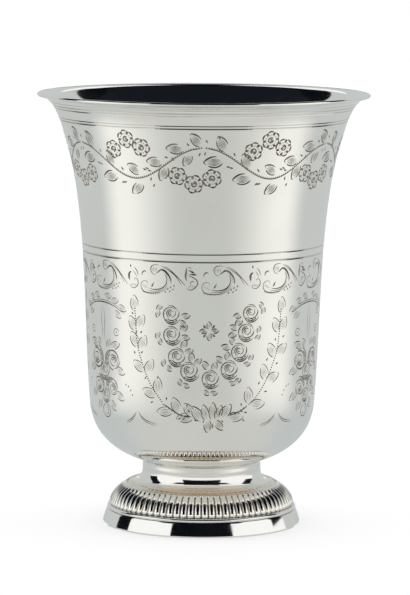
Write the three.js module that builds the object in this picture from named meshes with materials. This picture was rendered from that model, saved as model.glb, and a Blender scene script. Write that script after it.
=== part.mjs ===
// A tulip-shaped silver beaker on a pedestal foot, in millimetres, with +Z up.
// The origin is the middle of the foot's resting face. Every piece is turned about Z, and the
// pieces are stacked as a silversmith solders them: base band, fillet wire, gadrooned band,
// neck and bowl.

import * as THREE from "three";

// Heights of the soldered pieces, from the table up.
const BASE_BAND_HEIGHT = 3.9;
const FILLET_HEIGHT = 1.1;
const GADROON_HEIGHT = 5.6;
const NECK_HEIGHT = 6.75;
const BOWL_HEIGHT = 99.65;

// Radii, from the neck outwards down the foot. Each is a step beyond the one before it.
const NECK_RADIUS = 16;
const WAIST_SPREAD = 0.62;
const SHOULDER_SPREAD = 4.38;
const GADROON_SPREAD = 4.1;
const FILLET_OVERHANG = 0.6;
const BASE_FLARE = 1.25;

// Radii of the bowl, from the neck outwards and up.
const BELLY_SPREAD = 14.51;
const THROAT_SPREAD = 7.2;
const LIP_FLARE = 7.29;

// Heights on the bowl: the belly above the seat, the throat below the lip.
const BELLY_RISE = 15.75;
const THROAT_DROP = 11.1;

// Height of the waist, where the neck turns out to the shoulder, above the gadroons.
const WAIST_RISE = 2.1;

// Slopes of the outline, in degrees from the horizontal, except the two wall leans, which are
// the outward run of the wall for each millimetre of height.
const SEAT_SLOPE = 19;
const LIP_SLOPE = 5;
const WAIST_SLOPE = 65.5;
const SHOULDER_SLOPE = 29;
const GADROON_FOOT_SLOPE = 82;
const BELLY_LEAN = 0.076;
const THROAT_LEAN = 0.328;

// How far each curve of the outline holds its direction beyond its end point.
const SEAT_HOLD = 10.6;
const BELLY_HOLD_BELOW = 8.7;
const BELLY_HOLD_ABOVE = 25.2;
const THROAT_HOLD_BELOW = 20.7;
const THROAT_HOLD_ABOVE = 3;
const LIP_HOLD = 4.4;
const NECK_HOLD = 2;
const WAIST_HOLD_ABOVE = 2.6;
const WAIST_HOLD_BELOW = 1.2;
const SHOULDER_HOLD = 3.3;
const GADROON_HOLD_ABOVE = 2.25;
const GADROON_HOLD_BELOW = 2.7;

// Sheet and wire thicknesses.
const BOWL_WALL = 0.6;
const LIP_THICKNESS = 0.9;
const NECK_WALL = 0.9;
const SHOULDER_SEAT = 2.4;
const GADROON_WALL = 1.6;
const BASE_WALL = 1.4;
const BASE_EDGE = 0.4;
const SOLDER_SEAM = 0.1;

// The gadroons: convex lobes round the shoulder of the foot, with a groove between each two.
const GADROON_COUNT = 80;
const GADROON_DEPTH = 0.5;
const GADROON_RUN_IN = 0.3;
const GADROON_FACETS = 4;

// The turned threads: fine V grooves round the bowl, each given by its drop below the lip.
const THREAD_DROPS = [3.1, 3.85, 6.4, 7.1, 40.4, 42.4];
const THREAD_WIDTH = 0.5;
const THREAD_DEPTH = 0.15;

// Facets round a turned piece, and points along each stretch of an outline.
const TURN_FACETS = 56;
const CAP_POINTS = 3;
const BELLY_POINTS = 6;
const WALL_POINTS = 6;
const FLARE_POINTS = 5;
const LIP_POINTS = 3;
const NECK_POINTS = 3;
const SHOULDER_POINTS = 4;
const GADROON_POINTS = 5;
const FILLET_POINTS = 5;

const silver = (colour, roughness) =>
  new THREE.MeshStandardMaterial({ color: colour, roughness, metalness: 1 });

// A point of an outline: radius and height.
const point = (radius, height) => new THREE.Vector2(radius, height);

// Directions of an outline, as unit vectors.
const rising = (degrees) =>
  point(
    Math.cos(THREE.MathUtils.degToRad(degrees)),
    Math.sin(THREE.MathUtils.degToRad(degrees)),
  );
const falling = (degrees) => rising(-degrees);
const leaning = (lean) => point(lean, 1).normalize();

// A smooth stretch of an outline that leaves one point and reaches another in given directions.
function stretch(start, startWay, startHold, end, endWay, endHold) {
  return new THREE.CubicBezierCurve(
    start,
    start.clone().addScaledVector(startWay, startHold),
    end.clone().addScaledVector(endWay, -endHold),
    end,
  );
}

// The left-hand normal of a curve that is followed upwards, which points towards the axis.
function inward(curve, share) {
  const along = curve.getTangent(share);
  return point(-along.y, along.x);
}

// A curve's points, moved towards the axis by a thickness that may change along it.
function offsetPoints(curve, divisions, thicknessAt) {
  return Array.from({ length: divisions + 1 }, (_, i) => {
    const share = i / divisions;
    return curve
      .getPoint(share)
      .addScaledVector(inward(curve, share), thicknessAt(share));
  });
}

// A piece turned about Z from an outline of radius and height.
function turned(outline) {
  return new THREE.LatheGeometry(outline, TURN_FACETS).rotateX(Math.PI / 2);
}

function piece(name, geometry, material, height) {
  const mesh = new THREE.Mesh(geometry, material);
  mesh.name = name;
  mesh.position.z = height;
  return mesh;
}

// The bowl stands on the neck, with its seat circle at height 0 of its own frame.

// Half the underside's cap, a shallow arc from the axis to the seat circle.
const capRadius = NECK_RADIUS / Math.sin(THREE.MathUtils.degToRad(SEAT_SLOPE));
const undersideAt = (radius) =>
  Math.sqrt(capRadius ** 2 - NECK_RADIUS ** 2) -
  Math.sqrt(capRadius ** 2 - radius ** 2);

function bowlCurves() {
  const seat = point(NECK_RADIUS, 0);
  const belly = point(NECK_RADIUS + BELLY_SPREAD, BELLY_RISE);
  const throat = point(belly.x + THROAT_SPREAD, BOWL_HEIGHT - THROAT_DROP);
  const lipRadius = throat.x + LIP_FLARE;
  const lip = point(lipRadius - LIP_THICKNESS / 2, BOWL_HEIGHT - LIP_THICKNESS);
  return {
    belly: stretch(
      seat,
      rising(SEAT_SLOPE),
      SEAT_HOLD,
      belly,
      leaning(BELLY_LEAN),
      BELLY_HOLD_BELOW,
    ),
    wall: stretch(
      belly,
      leaning(BELLY_LEAN),
      BELLY_HOLD_ABOVE,
      throat,
      leaning(THROAT_LEAN),
      THROAT_HOLD_BELOW,
    ),
    flare: stretch(
      throat,
      leaning(THROAT_LEAN),
      THROAT_HOLD_ABOVE,
      lip,
      rising(LIP_SLOPE),
      LIP_HOLD,
    ),
  };
}

// The point of a rising curve at a height, found by halving.
function shareAtHeight(curve, height) {
  let low = 0;
  let high = 1;
  while (high - low > 1e-7) {
    const middle = (low + high) / 2;
    if (curve.getPoint(middle).y < height) low = middle;
    else high = middle;
  }
  return low;
}

// One turned thread: two points on the surface and one at the bottom of the groove.
function threadPoints(curve, drop) {
  const middle = BOWL_HEIGHT - drop;
  return [-1, 0, 1].map((side) => {
    const share = shareAtHeight(curve, middle + (side * THREAD_WIDTH) / 2);
    const depth = side === 0 ? THREAD_DEPTH : 0;
    return curve.getPoint(share).addScaledVector(inward(curve, share), depth);
  });
}

// The points of a curve with its threads cut in, from the bottom up.
function threadedPoints(curve, divisions) {
  const bottom = curve.getPoint(0).y;
  const top = curve.getPoint(1).y;
  const heights = THREAD_DROPS.map((drop) => BOWL_HEIGHT - drop).filter(
    (height) => height > bottom + THREAD_WIDTH && height < top - THREAD_WIDTH,
  );
  const smooth = curve
    .getPoints(divisions)
    .filter((p) => heights.every((h) => Math.abs(p.y - h) > THREAD_WIDTH));
  const cuts = heights.flatMap((h) => threadPoints(curve, BOWL_HEIGHT - h));
  return [...smooth, ...cuts].sort((a, b) => a.y - b.y);
}

function bowlGeometry() {
  const { belly, wall, flare } = bowlCurves();
  const cap = (thickness) =>
    Array.from({ length: CAP_POINTS }, (_, i) => {
      const radius = (NECK_RADIUS * i) / CAP_POINTS;
      return point(radius, undersideAt(radius) + thickness);
    });
  const even = () => BOWL_WALL;
  const thickening = (share) =>
    THREE.MathUtils.lerp(BOWL_WALL, LIP_THICKNESS, share);
  const outside = [
    ...cap(0),
    ...belly.getPoints(BELLY_POINTS).slice(0, -1),
    ...threadedPoints(wall, WALL_POINTS).slice(0, -1),
    ...threadedPoints(flare, FLARE_POINTS),
  ];
  const inside = [
    ...cap(BOWL_WALL),
    ...offsetPoints(belly, BELLY_POINTS, even).slice(0, -1),
    ...offsetPoints(wall, WALL_POINTS, even).slice(0, -1),
    ...offsetPoints(flare, FLARE_POINTS, thickening),
  ];
  const lipMiddle = outside.at(-1).clone().lerp(inside.at(-1), 0.5);
  const edge = Array.from({ length: LIP_POINTS }, (_, i) =>
    lipMiddle
      .clone()
      .addScaledVector(
        rising(LIP_SLOPE - 90 + (180 * (i + 1)) / (LIP_POINTS + 1)),
        LIP_THICKNESS / 2,
      ),
  );
  return turned([...outside, ...edge, ...inside.reverse()]);
}

// The foot. Each piece rests flat on the one below it.

const waistRadius = NECK_RADIUS + WAIST_SPREAD;
const shoulderRadius = waistRadius + SHOULDER_SPREAD;
const gadroonRadius = shoulderRadius + GADROON_SPREAD;
const filletRadius = gadroonRadius + FILLET_OVERHANG;
const baseRadius = filletRadius + BASE_FLARE;
const shoulderBore = shoulderRadius - SHOULDER_SEAT;
const gadroonBore = gadroonRadius - GADROON_WALL;

// The neck: a shell that drops to its waist and turns out to the shoulder. Its top follows the
// bowl's underside.
function neckGeometry() {
  const innerRadius = NECK_RADIUS - NECK_WALL;
  const top = (radius) => NECK_HEIGHT + undersideAt(radius) - SOLDER_SEAM;
  const waist = point(waistRadius, WAIST_RISE);
  const innerWaist = waist
    .clone()
    .addScaledVector(rising(90 - WAIST_SLOPE), -NECK_WALL);
  const side = (start, middle, end) => {
    const share = (end.x - middle.x) / SHOULDER_SPREAD;
    const neck = stretch(
      start,
      point(0, -1),
      NECK_HOLD,
      middle,
      falling(WAIST_SLOPE),
      WAIST_HOLD_ABOVE,
    );
    const shoulder = stretch(
      middle,
      falling(WAIST_SLOPE),
      WAIST_HOLD_BELOW * share,
      end,
      falling(SHOULDER_SLOPE),
      SHOULDER_HOLD * share,
    );
    return [
      ...neck.getPoints(NECK_POINTS),
      ...shoulder.getPoints(SHOULDER_POINTS).slice(1),
    ];
  };
  const outside = side(
    point(NECK_RADIUS, top(NECK_RADIUS)),
    waist,
    point(shoulderRadius, 0),
  );
  const inside = side(
    point(innerRadius, top(innerRadius)),
    innerWaist,
    point(shoulderBore, 0),
  );
  return turned([...outside.reverse(), ...inside, outside[0]]);
}

// How far the surface sinks below the gadroons' crests: nothing at the run-in and on a crest,
// most along the grooves.
function gadroonSink(share, turn) {
  const across = 2 * (turn - Math.floor(turn)) - 1;
  const lobe = Math.sqrt(1 - across ** 2);
  const runIn = THREE.MathUtils.smoothstep(share, 0, GADROON_RUN_IN);
  return GADROON_DEPTH * runIn * (1 - lobe);
}

// The gadrooned band: a ring whose outside is ruled by lobes from the shoulder to the fillet.
function gadroonGeometry() {
  const crest = stretch(
    point(gadroonRadius, 0),
    rising(180 - GADROON_FOOT_SLOPE),
    GADROON_HOLD_BELOW,
    point(shoulderRadius, GADROON_HEIGHT),
    rising(180 - SHOULDER_SLOPE),
    GADROON_HOLD_ABOVE,
  );
  const bore = [point(shoulderBore, GADROON_HEIGHT), point(gadroonBore, 0)];
  const columns = GADROON_COUNT * GADROON_FACETS;
  const rows = GADROON_POINTS + 1 + bore.length;
  const positions = [];
  const triangles = [];
  const section = (turn) => {
    const outside = Array.from({ length: GADROON_POINTS + 1 }, (_, i) => {
      const share = i / GADROON_POINTS;
      const way = i === 0 ? point(-1, 0) : inward(crest, share);
      return crest
        .getPoint(share)
        .addScaledVector(way, gadroonSink(1 - share, turn));
    });
    return [...outside, ...bore];
  };
  for (let column = 0; column < columns; column += 1) {
    const angle = (2 * Math.PI * column) / columns;
    for (const p of section(column / GADROON_FACETS)) {
      positions.push(p.x * Math.cos(angle), p.x * Math.sin(angle), p.y);
    }
    const next = (column + 1) % columns;
    for (let row = 0; row < rows; row += 1) {
      const over = (row + 1) % rows;
      const [a, b] = [column * rows + row, next * rows + row];
      const [c, d] = [next * rows + over, column * rows + over];
      triangles.push(a, b, c, a, c, d);
    }
  }
  return new THREE.BufferGeometry()
    .setAttribute("position", new THREE.Float32BufferAttribute(positions, 3))
    .setIndex(triangles);
}

// The fillet: a half-round wire between the gadroons and the base band.
function filletGeometry() {
  const round = FILLET_HEIGHT / 2;
  const middle = point(filletRadius - round, round);
  const outside = Array.from({ length: FILLET_POINTS }, (_, i) =>
    middle
      .clone()
      .addScaledVector(rising(-90 + (180 * i) / (FILLET_POINTS - 1)), round),
  );
  const foot = point(gadroonBore, 0);
  return turned([foot, ...outside, point(gadroonBore, FILLET_HEIGHT), foot]);
}

// The base band: a flared strip with an eased lower edge and a flat resting face.
function baseBandGeometry() {
  const heel = point(baseRadius - BASE_WALL, 0);
  const flank = point(
    filletRadius - baseRadius,
    BASE_BAND_HEIGHT,
  ).normalize();
  return turned([
    heel,
    point(baseRadius - BASE_EDGE, 0),
    point(baseRadius, 0).addScaledVector(flank, BASE_EDGE),
    point(filletRadius, BASE_BAND_HEIGHT),
    point(filletRadius - BASE_WALL, BASE_BAND_HEIGHT),
    heel,
  ]);
}

const polished = silver(0xe3e1db, 0.12);
const toned = silver(0xd8d3c8, 0.2);

const filletSeat = BASE_BAND_HEIGHT;
const gadroonSeat = filletSeat + FILLET_HEIGHT;
const neckSeat = gadroonSeat + GADROON_HEIGHT;
const bowlSeat = neckSeat + NECK_HEIGHT;

const foot = new THREE.Group();
foot.add(
  piece("base_band", baseBandGeometry(), polished, 0),
  piece("fillet_wire", filletGeometry(), polished, filletSeat),
  piece("gadroon_band", gadroonGeometry(), toned, gadroonSeat),
  piece("foot_neck", neckGeometry(), polished, neckSeat),
);

const beaker = new THREE.Group();
beaker.add(foot, piece("bowl", bowlGeometry(), polished, bowlSeat));

export default beaker;
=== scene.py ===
"""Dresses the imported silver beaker: an engraved bowl on a gadrooned foot, in polished silver.

Sizes are in millimetres unless a name says otherwise, and meshes are made in metres. An azimuth
is in degrees round the beaker, with 0 towards the camera and 90 to the camera's right.
"""

import logging
import math
from dataclasses import dataclass, field
from enum import Enum
from typing import Any, Iterable, Sequence

import bpy
import numpy as np
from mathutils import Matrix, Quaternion, Vector
from mathutils.bvhtree import BVHTree
from mathutils.geometry import delaunay_2d_cdt
from mathutils.kdtree import KDTree


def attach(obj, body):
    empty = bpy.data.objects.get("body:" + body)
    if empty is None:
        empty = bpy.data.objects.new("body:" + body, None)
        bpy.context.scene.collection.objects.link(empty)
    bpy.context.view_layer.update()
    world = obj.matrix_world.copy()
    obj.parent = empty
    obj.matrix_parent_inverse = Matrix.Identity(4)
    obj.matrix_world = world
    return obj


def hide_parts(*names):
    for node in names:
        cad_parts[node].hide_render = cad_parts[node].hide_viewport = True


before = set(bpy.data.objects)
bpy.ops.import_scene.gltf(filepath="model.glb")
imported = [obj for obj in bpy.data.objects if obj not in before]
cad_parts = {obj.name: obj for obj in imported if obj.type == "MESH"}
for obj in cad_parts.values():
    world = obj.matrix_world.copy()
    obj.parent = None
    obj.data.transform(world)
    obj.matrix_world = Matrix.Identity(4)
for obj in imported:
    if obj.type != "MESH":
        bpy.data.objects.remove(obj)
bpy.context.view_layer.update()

LOG = logging.getLogger("beaker")
MM = 0.001
BODY = "root"
BEND_STEPS = 160
CURVE_STEP = 0.55
LOOSE_STEP = 1.0
SAME_SPOT = 1e-9
CLOSE_SPOTS = 1e-5
WELD_STEP = 0.002
NO_AREA = 1e-18
HAND_SEED = 11

Point = tuple[float, float]
Colour = tuple[float, float, float]
Corners = Sequence[tuple[float, float, float]]
Material = bpy.types.Material
Socket = bpy.types.NodeSocket

WHITE: Colour = (1.0, 1.0, 1.0)


class Slot(Enum):
    """The record's material slots."""

    POLISHED = "polished_silver"
    TONED = "toned_silver"


class Taper(Enum):
    """How a burin cut widens and narrows along its length."""

    SWELL = ((0.0, 0.12, 0.5, 0.88, 1.0), (0.0, 0.5, 1.0, 0.5, 0.0))
    DART = ((0.0, 0.2, 1.0), (0.0, 1.0, 0.0))
    LINE = ((0.0, 0.04, 0.96, 1.0), (0.0, 1.0, 1.0, 0.0))

    def at(self, shares: np.ndarray) -> np.ndarray:
        """The share of the full width at each share of the length."""
        return np.interp(shares, self.value[0], self.value[1])


class Cut(Enum):
    """The kinds of groove in the bowl, each with the index of its material."""

    ENGRAVED = 1
    TURNED = 2


# Curves and outlines


def unit_rows(rows: np.ndarray) -> np.ndarray:
    """The rows of an array as unit vectors."""
    return rows / np.linalg.norm(rows, axis=1)[:, None]


def run_lengths(path: np.ndarray) -> np.ndarray:
    """How far along a path each of its points is."""
    return np.concatenate([[0.0], np.cumsum(np.hypot(*np.diff(path, axis=0).T))])


def coil_path(reaches: np.ndarray, degrees: np.ndarray) -> np.ndarray:
    """The points at distances from the origin and at angles from +X."""
    turns = np.radians(degrees)
    return reaches[:, None] * np.column_stack([np.cos(turns), np.sin(turns)])


def smooth_path(points: Sequence[Point], step: float) -> np.ndarray:
    """A smooth curve through points.

    Args:
        points: The points to pass through, in order.
        step: About how far apart the curve's own points are.

    Returns:
        The curve's points as an array of two columns.
    """
    knots = np.asarray(points, float)
    ways = np.gradient(knots, axis=0)
    rows = [knots[:1]]
    for start, end, way_in, way_out in zip(knots, knots[1:], ways, ways[1:]):
        count = max(2, round(float(np.hypot(*(end - start))) / step))
        t = np.linspace(0, 1, count + 1)[1:, None]
        rows.append(
            (1 + 2 * t) * (1 - t) ** 2 * start
            + t * (1 - t) ** 2 * way_in
            + t**2 * (3 - 2 * t) * end
            + t**2 * (t - 1) * way_out
        )
    return np.concatenate(rows)


def arc_path(middle: Point, radius: float, start: float, end: float, count: int) -> np.ndarray:
    """Points along an arc, in a number of steps from one angle to another in degrees from +X."""
    turns = np.linspace(start, end, count + 1)
    return np.asarray(middle) + coil_path(np.full(count + 1, radius), turns)


def heading(degrees: float) -> np.ndarray:
    """The unit vector of a direction given in degrees above the outward horizontal."""
    return np.array([math.cos(math.radians(degrees)), math.sin(math.radians(degrees))])


def bend(start: Point, end: Point, ways: Point, holds: Point) -> np.ndarray:
    """A smooth stretch of an outline.

    Args:
        start: The first point, as radius and height.
        end: The last point.
        ways: The directions at both ends, in degrees above the outward horizontal.
        holds: How far the curve holds each of these directions.

    Returns:
        The stretch's points, close together.
    """
    t = np.linspace(0, 1, BEND_STEPS + 1)[:, None]
    first, last = np.asarray(start, float), np.asarray(end, float)
    pull_out = first + holds[0] * heading(ways[0])
    pull_in = last - holds[1] * heading(ways[1])
    return (
        (1 - t) ** 3 * first
        + 3 * t * (1 - t) ** 2 * pull_out
        + 3 * t**2 * (1 - t) * pull_in
        + t**3 * last
    )


class Outline:
    """A turned outline, followed with the metal on its left, that can be read at any length."""

    def __init__(self, points: np.ndarray) -> None:
        """Keeps the points with their lengths and outward normals.

        Args:
            points: Radius and height of points close together along the outline.
        """
        steps = np.linalg.norm(np.diff(points, axis=0), axis=1)
        apart = steps > SAME_SPOT
        self.points = points[np.concatenate([[True], apart])]
        self.lengths = np.concatenate([[0.0], np.cumsum(steps[apart])])
        ways = unit_rows(np.gradient(self.points, self.lengths, axis=0))
        self.normals = np.column_stack([ways[:, 1], -ways[:, 0]])

    @property
    def length(self) -> float:
        """The outline's whole length."""
        return float(self.lengths[-1])

    def read(self, lengths: np.ndarray) -> tuple[np.ndarray, np.ndarray]:
        """The points and unit normals at lengths along the outline, two columns each."""
        spots, normals = (
            np.column_stack([np.interp(lengths, self.lengths, values[:, i]) for i in (0, 1)])
            for values in (self.points, self.normals)
        )
        return spots, unit_rows(normals)

    def length_at_height(self, height: float) -> float:
        """How far along a rising outline a height is reached."""
        return float(np.interp(height, self.points[:, 1], self.lengths))


def turned_about_z(azimuths: np.ndarray, pairs: np.ndarray) -> np.ndarray:
    """Turns pairs of radius and height, or of a normal's two parts, to azimuths in radians."""
    return np.column_stack(
        [pairs[:, 0] * np.sin(azimuths), -pairs[:, 0] * np.cos(azimuths), pairs[:, 1]]
    )


# Nodes


class NodePlan:
    """Adds nodes to a tree and joins their sockets."""

    MIX_COLOURS = (6, 7)
    MIX_RESULT = 2

    def __init__(self, tree: bpy.types.NodeTree) -> None:
        """Starts from the tree to add to."""
        self.tree = tree

    def feed(self, socket: Socket, value: Any) -> None:
        """Joins an input to another socket, or sets its value."""
        if isinstance(value, Socket):
            self.tree.links.new(value, socket)
        else:
            socket.default_value = value

    def add(self, kind: str, feeds: dict[Any, Any] | None = None, **settings: Any) -> Any:
        """Adds a node.

        Args:
            kind: The node's type name.
            feeds: What goes into its inputs, by their name or number.
            settings: The node's own settings.

        Returns:
            The new node.
        """
        node = self.tree.nodes.new(kind)
        for name, value in settings.items():
            setattr(node, name, value)
        for key, value in (feeds or {}).items():
            self.feed(node.inputs[key], value)
        return node

    def math(self, operation: str, *values: Any) -> Socket:
        """Adds a Math node and returns its result."""
        return self.add("ShaderNodeMath", dict(enumerate(values)), operation=operation).outputs[0]

    def ramp(self, value: Any, low: float, high: float, start: float = 0.0, end: float = 1.0) -> Any:
        """Adds a smooth Map Range and returns its result.

        Args:
            value: What is mapped.
            low: The value that gives start.
            high: The value that gives end.
            start: The result up to low.
            end: The result from high.

        Returns:
            The socket with the result.
        """
        feeds = {"Value": value, "From Min": low, "From Max": high, "To Min": start, "To Max": end}
        return self.add("ShaderNodeMapRange", feeds, interpolation_type="SMOOTHSTEP").outputs[0]

    def mix(self, share: Any, first: Any, second: Any) -> Socket:
        """Adds a colour Mix node and returns its result."""
        feeds = {"Factor": share, **dict(zip(self.MIX_COLOURS, (first, second)))}
        return self.add("ShaderNodeMix", feeds, data_type="RGBA").outputs[self.MIX_RESULT]


def opaque(colour: Colour) -> tuple[float, float, float, float]:
    """A colour with full alpha."""
    return (*colour, 1.0)


def new_material(name: str) -> tuple[Material, NodePlan]:
    """A new material, and the plan of its nodes."""
    material = bpy.data.materials.new(name)
    material.use_nodes = True
    return material, NodePlan(material.node_tree)


# Finishes


def hand_polish_group() -> bpy.types.ShaderNodeTree:
    """The shader group of a hand-polished surface: soft cloudiness and fine turning marks.

    Returns:
        The group, with Cloud and Marks values from 0 to 1.
    """
    cloud_look = {"Detail": 4.0, "Roughness": 0.55}
    mark_look = {"Detail": 3.0, "Roughness": 0.6}
    mark_stretch = 0.004
    tree = bpy.data.node_groups.new("hand polish", "ShaderNodeTree")
    for name, default in (("Cloud Size", 0.02), ("Mark Size", 0.0012)):
        socket = tree.interface.new_socket(name, in_out="INPUT", socket_type="NodeSocketFloat")
        socket.default_value = default
    for name in ("Cloud", "Marks"):
        tree.interface.new_socket(name, in_out="OUTPUT", socket_type="NodeSocketFloat")
    plan = NodePlan(tree)
    sizes = plan.add("NodeGroupInput").outputs
    spot = plan.add("ShaderNodeTexCoord").outputs["Object"]
    axes = plan.add("ShaderNodeSeparateXYZ", {"Vector": spot}).outputs
    squares = [plan.math("POWER", axes[name], 2.0) for name in "XY"]
    radius = plan.math("SQRT", plan.math("ADD", *squares))
    turn = plan.math("MULTIPLY", plan.math("ARCTAN2", axes["X"], axes["Y"]), mark_stretch)
    around = plan.add("ShaderNodeCombineXYZ", {"X": turn, "Y": radius, "Z": axes["Z"]}).outputs[0]

    def noise(place: Any, size: str, look: dict[str, float]) -> Socket:
        scale = plan.math("DIVIDE", 1.0, sizes[size])
        return plan.add("ShaderNodeTexNoise", {"Vector": place, "Scale": scale, **look}).outputs[0]

    cloud = noise(spot, "Cloud Size", cloud_look)
    marks = noise(around, "Mark Size", mark_look)
    plan.add("NodeGroupOutput", {"Cloud": cloud, "Marks": marks})
    return tree


@dataclass(frozen=True)
class SilverFinish:
    """A silver surface with its polish, tarnish and marks.

    The tarnish lies in the clouds of the polish and in the recesses that an attribute marks. Up to a
    height in the corner over the gadroons lies a painted warm reflection in the same colour, where the
    front has more of it than the sides.
    """

    name: str
    colour: Colour
    tarnish_and_reflection: Colour
    roughness: tuple[float, float]
    tarnish_share: float
    mark_height: float = 0.0
    recess_attribute: str = ""
    reflection_heights: Point | None = None
    cloud_range: Point = (0.45, 0.75)
    recess_range: Point = (0.15, 0.9)
    grain_range: Point = (0.3, 0.7)
    cloud_weight: float = 0.6
    reflection_front_range: Point = (-18.0, -12.0)
    reflection_side_share: float = 0.15

    def material(self, polish: bpy.types.ShaderNodeTree) -> Material:
        """Builds the material.

        Args:
            polish: The shared shader group of a hand-polished surface.

        Returns:
            The material, ready to be put on a piece.
        """
        material, plan = new_material(self.name)
        material.diffuse_color = opaque(self.colour)
        shader = material.node_tree.nodes["Principled BSDF"]
        shader.inputs["Metallic"].default_value = 1.0
        group = plan.add("ShaderNodeGroup", node_tree=polish)
        cloud, marks = group.outputs["Cloud"], group.outputs["Marks"]
        tarnish_and_reflection_mix = plan.math("MULTIPLY", plan.ramp(cloud, *self.cloud_range), self.tarnish_share)
        if self.recess_attribute:
            recess = plan.add("ShaderNodeAttribute", attribute_name=self.recess_attribute)
            tarnish_and_reflection_mix = plan.math("MAXIMUM", tarnish_and_reflection_mix, plan.ramp(recess.outputs["Fac"], *self.recess_range))
        # A painted warm reflection in the tarnish colour, up to a height in the corner and stronger at
        # the front.
        if self.reflection_heights:
            spot = plan.add("ShaderNodeTexCoord").outputs["Object"]
            axes = plan.add("ShaderNodeSeparateXYZ", {"Vector": spot}).outputs
            low, high = (h * MM for h in self.reflection_heights)
            near, far = (y * MM for y in self.reflection_front_range)
            patch = plan.ramp(axes["Y"], near, far, 1.0, self.reflection_side_share)
            corner = plan.math("MULTIPLY", plan.ramp(axes["Z"], low, high, 1.0, 0.0), patch)
            tarnish_and_reflection_mix = plan.math("MAXIMUM", tarnish_and_reflection_mix, corner)
        colour = plan.mix(tarnish_and_reflection_mix, opaque(self.colour), opaque(self.tarnish_and_reflection))
        plan.feed(shader.inputs["Base Color"], colour)
        weights = ((cloud, self.cloud_weight), (marks, 1 - self.cloud_weight))
        grain = plan.math("ADD", *(plan.math("MULTIPLY", value, weight) for value, weight in weights))
        plan.feed(shader.inputs["Roughness"], plan.ramp(grain, *self.grain_range, *self.roughness))
        if self.mark_height:
            bump = plan.add(
                "ShaderNodeBump", {"Height": marks, "Strength": 1.0, "Distance": self.mark_height * MM}
            )
            plan.feed(shader.inputs["Normal"], bump.outputs["Normal"])
        return material


POLISHED_SILVER = SilverFinish(
    name="polished silver",
    colour=(0.93, 0.925, 0.905),
    tarnish_and_reflection=(0.88, 0.86, 0.81),
    roughness=(0.05, 0.11),
    tarnish_share=0.5,
    mark_height=0.0006,
)
ENGRAVED_SILVER = SilverFinish(
    name="darkened engraving",
    colour=(0.30, 0.27, 0.23),
    tarnish_and_reflection=(0.17, 0.145, 0.115),
    roughness=(0.3, 0.5),
    tarnish_share=1.0,
)
THREAD_SILVER = SilverFinish(
    name="turned thread",
    colour=(0.72, 0.70, 0.66),
    tarnish_and_reflection=(0.45, 0.42, 0.36),
    roughness=(0.12, 0.2),
    tarnish_share=0.6,
)
# The neck's tan is tarnish in the recesses, and a painted warm reflection on the front of the shoulder.
NECK_SILVER = SilverFinish(
    name="neck silver",
    colour=(0.93, 0.915, 0.88),
    tarnish_and_reflection=(0.72, 0.58, 0.43),
    roughness=(0.06, 0.12),
    tarnish_share=0.12,
    mark_height=0.0006,
    recess_attribute="recess",
    reflection_heights=(10.8, 12.8),
)
GADROON_SILVER = SilverFinish(
    name="gadrooned silver",
    colour=(0.92, 0.91, 0.88),
    tarnish_and_reflection=(0.74, 0.65, 0.50),
    roughness=(0.06, 0.14),
    tarnish_share=0.35,
    recess_attribute="recess",
)


# Engraving


@dataclass(frozen=True)
class Stroke:
    """One groove on a flat sheet: its path and its half width at each point."""

    path: np.ndarray
    half: np.ndarray
    cut: Cut = Cut.ENGRAVED

    def moved(self, turn: float, grow: float) -> "Stroke":
        """The stroke turned in degrees and grown about the origin."""
        ahead, aside = heading(turn)
        spin = np.array([[ahead, aside], [-aside, ahead]])
        return Stroke(self.path @ spin * grow, self.half * grow, self.cut)


Motif = list[Stroke]


def burin(path: np.ndarray, width: float, taper: Taper = Taper.SWELL) -> Stroke:
    """One burin cut along a path, with its full width where it is widest."""
    path = np.asarray(path, float)
    lengths = run_lengths(path)
    return Stroke(path, taper.at(lengths / lengths[-1]) * width / 2)


def curve_cut(points: Sequence[Point], width: float, taper: Taper = Taper.SWELL) -> Stroke:
    """A burin cut along a smooth curve through points."""
    return burin(smooth_path(points, CURVE_STEP), width, taper)


def drawn(lines: Sequence[tuple[float, Sequence[Point]]]) -> Motif:
    """A curved cut for each pair of a width and the points that it passes through."""
    return [curve_cut(points, width) for width, points in lines]


def dart(start: Point, end: Point, width: float) -> Stroke:
    """A straight cut that starts full and runs out to a point."""
    return burin(np.linspace(start, end, 4), width, Taper.DART)


def dash(middle: Point, length: float, width: float, turn: float) -> Stroke:
    """A short straight cut, pointed at both ends."""
    reach = heading(turn) * length / 2
    return burin(np.linspace(np.asarray(middle) - reach, np.asarray(middle) + reach, 3), width)


@dataclass(frozen=True)
class Burin:
    """The widths of the engraver's cuts."""

    bold: float = 0.62
    notch: float = 0.5
    tick: float = 0.42
    heavy: float = 0.4
    stem: float = 0.3
    plain: float = 0.28
    light: float = 0.2
    hatch: float = 0.15


CUTS = Burin()


@dataclass(frozen=True)
class LeafShape:
    """Where a leaf's cuts run, as shares of its length and of its half width."""

    lean: float = 0.9
    bluntness: float = 0.72
    rim: Point = (0.02, 0.83)
    tip: Point = (0.86, 0.985)
    edge_end: float = 0.3
    veins: Point = (0.1, 0.86)
    vein_band: Point = (-0.7, 0.8)


LEAF = LeafShape()


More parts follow.
